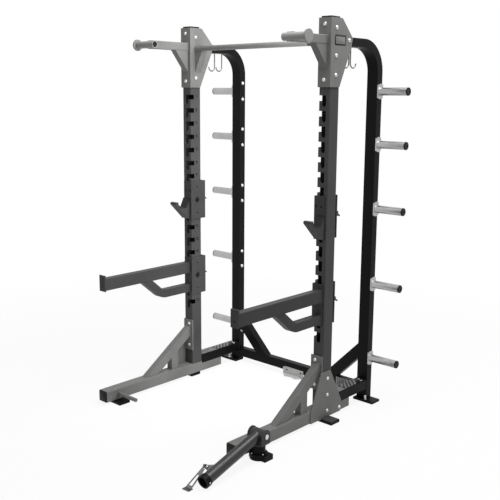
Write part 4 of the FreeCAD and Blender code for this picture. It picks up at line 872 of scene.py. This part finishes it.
def make_window_shades():
    """A black ring in each carriage's window, painted shade inside the window, round the opening
    through which the slot's number shows.
    """
    for way, side in SIDES:
        post_low, post_high = box_of(f"upright_{side}")
        middle_y = (post_low.y + post_high.y) / 2
        for node, body in carriages(side):
            low, high = box_of(node)
            cheek = outward(way, low, high)[1]
            middle_z = (low.z + high.z) / 2
            rings = []
            for inset, depth in WINDOW_SHADE_RING:
                wide = WINDOW_HALF_WIDTH - inset
                tall = WINDOW_HALF_HEIGHT - inset * WINDOW_HALF_HEIGHT / WINDOW_HALF_WIDTH
                x = cheek + way * depth
                rings.append([(x, middle_y + wide, middle_z), (x, middle_y, middle_z + tall),
                              (x, middle_y - wide, middle_z), (x, middle_y, middle_z - tall)])
            form = Form()
            form.skin(rings, smooth=False, ends=False)
            form.finish(f"{node}_window_shade", "black_plastic", body)


def make_hole_shades_and_arm_screws():
    """Black discs in the carriages' cheeks and on the hooks' fronts, painted shade in the holes
    there, and one screw in each arm's end.
    """
    for way, side in SIDES:
        x = way * POST_PLACE
        post_low, post_high = box_of(f"upright_{side}")
        middle_y = (post_low.y + post_high.y) / 2
        for node, body in carriages(side):
            low, high = box_of(node)
            cheek = outward(way, low, high)[1]
            middle_z = (low.z + high.z) / 2
            form = Form()
            for rise in CHEEK_HOLE_SHADE_RISES:
                form.turned((cheek, middle_y, middle_z + rise), (-way, 0, 0), SMALL_SCREW)
            if node.startswith("j_hook"):
                for aside in HOLE_SHADE_ASIDES:
                    form.turned((x + way * aside, post_low.y - CARRIAGE_FRONT,
                                 middle_z + HOLE_SHADE_RISE), FRONT, HOLE_SHADE)
            form.finish(f"{node}_screws", "black_plastic", body)
        low, _ = box_of(f"safety_arm_{side}")
        form = Form()
        form.turned((x, low.y, low.z + ARM_SCREW_RISE), FRONT, ARM_SCREW)
        form.finish(f"safety_arm_{side}_screw", "black_plastic", f"{side}_safety")


# Weld beads.

WELD = 2.4
WIDE_WELD = 2.6
SLIM_WELD = 2.2
HORN_WELD = 2.0
WELD_LIFT = 0.4
BUTT_WELD_LIFT = 0.5
GRIP_ARM_HALF = 25.6
PULL_UP_BAR_WELD = 17.6
BRACE_HALF = 23.4
BRACE_TOP_WELD = (4.0, 78.0)
BRACE_FOOT_WELD = (4.0, 92.0)
CROSS_TUBE_SETBACK = 3.0
REAR_LEG_HALF = (37.6, 31.8)
HORN_WELD_RADIUS = 25.0
HORN_WELD_LIFT = 0.6
HORN_WELD_SETBACK = 2.2
SHORTEST_HORN = 100.0
SAFETY_ARM_FOOT = 5.0
SAFETY_ARM_RISE = 38.0
SAFETY_ARM_HALF = (25.6, 38.6)
SAFETY_BRACE_RISE = 27.0
SAFETY_BRACE_HALF = (23.6, 27.4)
HOOK_HALF = 28.4
HOOK_WELD = (10.0, 74.0)


def rectangle(x, y, z, half_x, half_z):
    """The corners of a rectangle that faces the front."""
    return [(x - half_x, y, z - half_z), (x + half_x, y, z - half_z),
            (x + half_x, y, z + half_z), (x - half_x, y, z + half_z)]


def circle(x, y, z, radius):
    """Points round a circle that faces the side."""
    return [(x, y + radius * math.cos(turn), z + radius * math.sin(turn))
            for turn in turns(RING_POINTS)]


def weld_top(form, way, side):
    """Round the grip arm at the upright, and round the pull-up bar at its bracket."""
    low, high = box_of(f"grip_arm_{side}")
    form.bead(rectangle(way * POST_PLACE, high.y - BUTT_WELD_LIFT, (low.z + high.z) / 2,
                        GRIP_ARM_HALF, GRIP_ARM_HALF), WIDE_WELD, closed=True)
    inner = outward(way, *box_of(f"top_bracket_{side}"))[1]
    low, high = box_of("pull_up_bar")
    form.bead(circle(inner - way * WELD_LIFT, (low.y + high.y) / 2, (low.z + high.z) / 2,
                     PULL_UP_BAR_WELD), WELD, closed=True)


def weld_brace(form, way, side):
    """Along the brace's two ends, and round the strut's foot on the rail."""
    x = way * POST_PLACE
    low, high = box_of(f"front_brace_{side}")
    for edge in (x - BRACE_HALF, x + BRACE_HALF):
        form.bead([(edge, high.y - WELD_LIFT, high.z - drop) for drop in BRACE_TOP_WELD], WELD)
        form.bead([(edge, low.y + back, low.z + WELD_LIFT) for back in BRACE_FOOT_WELD], WELD)
    low, high = box_of("brace_struts")
    foot = low.z + WELD_LIFT
    form.bead([(x - BRACE_HALF, low.y, foot), (x + BRACE_HALF, low.y, foot),
               (x + BRACE_HALF, high.y, foot), (x - BRACE_HALF, high.y, foot)],
              WELD, closed=True)


def weld_base(form, way, side):
    """Round the rear cross tube's end and round the rear leg at the post."""
    low, high = box_of("rear_cross_tube")
    end = outward(way, low, high)[0] - way * WELD_LIFT
    back = high.y - CROSS_TUBE_SETBACK
    form.bead([(end, low.y, low.z), (end, back, low.z), (end, back, high.z),
               (end, low.y, high.z)], WIDE_WELD, closed=True)
    low, high = box_of(f"rear_leg_{side}")
    form.bead(rectangle(way * POST_PLACE, high.y - BUTT_WELD_LIFT, (low.z + high.z) / 2,
                        *REAR_LEG_HALF), WIDE_WELD, closed=True)


def weld_horns(form, way, side):
    """Round each horn at its root plate, kept in front of the rear posts' backs."""
    furthest = box_of("rear_cross_tube")[1].y - HORN_WELD_SETBACK
    for points in solids_of(f"weight_horns_{side}"):
        low, high = extent(points)
        if high.x - low.x > SHORTEST_HORN:
            root = outward(way, low, high)[1] + way * HORN_WELD_LIFT
            ring = circle(root, (low.y + high.y) / 2, (low.z + high.z) / 2, HORN_WELD_RADIUS)
            form.bead([(x, min(y, furthest), z) for x, y, z in ring], HORN_WELD, closed=True)


def make_frame_welds():
    gray, black, steel = Form(), Form(), Form()
    for way, side in SIDES:
        weld_top(gray, way, side)
        weld_brace(gray, way, side)
        weld_base(black, way, side)
        weld_horns(steel, way, side)
    gray.finish("frame_welds_gray", "gray_paint")
    black.finish("frame_welds_black", "black_paint")
    steel.finish("horn_welds", "horn_steel")


def make_moving_welds():
    """Round the safety arm and its brace, and along the hook, on the carriages' fronts."""
    for way, side in SIDES:
        x = way * POST_PLACE
        face = box_of(f"upright_{side}")[0].y - CARRIAGE_FRONT - WELD_LIFT
        form = Form()
        arm_base = box_of(f"safety_arm_{side}")[0].z + SAFETY_ARM_FOOT
        form.bead(rectangle(x, face, arm_base + SAFETY_ARM_RISE, *SAFETY_ARM_HALF), WELD,
                  closed=True)
        brace_base = box_of(f"safety_brace_{side}")[0].z
        form.bead(rectangle(x, face, brace_base + SAFETY_BRACE_RISE, *SAFETY_BRACE_HALF), WELD,
                  closed=True)
        form.finish(f"safety_welds_{side}", "charcoal_paint", f"{side}_safety")
        form = Form()
        hook_base = box_of(f"j_hook_{side}")[0].z
        for edge in (x - HOOK_HALF, x + HOOK_HALF):
            form.bead([(edge, face, hook_base + rise) for rise in HOOK_WELD], SLIM_WELD)
        form.finish(f"j_hook_welds_{side}", "hook_paint", f"{side}_hook")


# Floor, backdrop and lamps.

FLOOR_HALF = 30.0
FLOOR_DROP = 0.0005
FLOOR_TONE = 0.86
FLOOR_GLOW_SPAN = (1.2, 4.0)
FLOOR_GLOW = (0.90, 1.0)
WORLD_LIGHT = 0.30
WHITE = (1, 1, 1, 1)


def seen_directly(tree):
    """One for camera, glossy and transmission rays, and nought for the light that falls."""
    path = tree.nodes.new("ShaderNodeLightPath")
    some = arithmetic(tree, "MAXIMUM", path.outputs["Is Camera Ray"],
                      path.outputs["Is Glossy Ray"])
    return arithmetic(tree, "MAXIMUM", some, path.outputs["Is Transmission Ray"])


def floor_material():
    """Matt ground that keeps the shadows and turns into the white backdrop further out."""
    material = bpy.data.materials.new("floor")
    material.use_nodes = True
    tree = material.node_tree
    tree.nodes.clear()
    output = tree.nodes.new("ShaderNodeOutputMaterial")
    matt = tree.nodes.new("ShaderNodeBsdfDiffuse")
    matt.inputs["Color"].default_value = (FLOOR_TONE, FLOOR_TONE, FLOOR_TONE, 1)
    glow = tree.nodes.new("ShaderNodeEmission")
    glow.inputs["Color"].default_value = WHITE
    glow.inputs["Strength"].default_value = 1.0
    blend = tree.nodes.new("ShaderNodeMixShader")
    where = tree.nodes.new("ShaderNodeTexCoord")
    distance = tree.nodes.new("ShaderNodeVectorMath")
    distance.operation = "LENGTH"
    tree.links.new(where.outputs["Object"], distance.inputs[0])
    share = remap(tree, distance.outputs["Value"], FLOOR_GLOW_SPAN, FLOOR_GLOW)
    seen = arithmetic(tree, "MULTIPLY", seen_directly(tree), share)
    tree.links.new(seen, blend.inputs["Fac"])
    tree.links.new(matt.outputs["BSDF"], blend.inputs[1])
    tree.links.new(glow.outputs["Emission"], blend.inputs[2])
    tree.links.new(blend.outputs["Shader"], output.inputs["Surface"])
    return material


def make_floor():
    half = FLOOR_HALF
    mesh = bpy.data.meshes.new("floor")
    mesh.from_pydata([(-half, -half, 0), (half, -half, 0), (half, half, 0), (-half, half, 0)],
                     [], [(0, 1, 2, 3)])
    mesh.materials.append(floor_material())
    floor = link(bpy.data.objects.new("floor", mesh))
    floor.location.z = -FLOOR_DROP


def make_world():
    world = bpy.data.worlds.new("world")
    bpy.context.scene.world = world
    world.use_nodes = True
    tree = world.node_tree
    tree.nodes.clear()
    output = tree.nodes.new("ShaderNodeOutputWorld")
    background = tree.nodes.new("ShaderNodeBackground")
    background.inputs["Color"].default_value = WHITE
    strength = remap(tree, seen_directly(tree), NONE_TO_FULL, (WORLD_LIGHT, 1.0))
    tree.links.new(strength, background.inputs["Strength"])
    tree.links.new(background.outputs["Background"], output.inputs["Surface"])


def make_lamp(name, place, target, size, watts, diffuse=1.0):
    data = bpy.data.lights.new(name, "AREA")
    data.shape = "RECTANGLE"
    data.size, data.size_y = size
    data.energy = watts
    data.diffuse_factor = diffuse
    lamp = link(bpy.data.objects.new(name, data))
    lamp.location = place
    aim = Vector(target) - Vector(place)
    lamp.rotation_euler = aim.to_track_quat("-Z", "Y").to_euler()
    lamp.visible_camera = False


make_camera()
dress_nodes()

make_bolts()
make_horn_caps()
make_end_plugs()
make_grip_plugs()
make_bracket_panels()
make_slot_numbers()
make_window_shades()
make_tread_plates()
make_foot_top_highlights()
make_sleeve_details()
make_hole_shades_and_arm_screws()
make_frame_welds()
make_moving_welds()
make_outrigger_bolts()
make_levelling_bolts()

make_floor()
make_world()
make_lamp("key", place=(0.45, 0.28, 1.45), target=(-0.57, 0.35, 1.40), size=(0.7, 2.4), watts=17)
make_lamp("top", place=(0.9, -0.3, 4.2), target=(0.1, 0.2, 1.0), size=(2.2, 2.2), watts=85)
make_lamp("rim", place=(1.5, 1.2, 4.0), target=(0.67, -0.5, 0.1), size=(1.8, 1.8), watts=75,
          diffuse=0.5)
bpy.context.scene.view_settings.view_transform = "Standard"
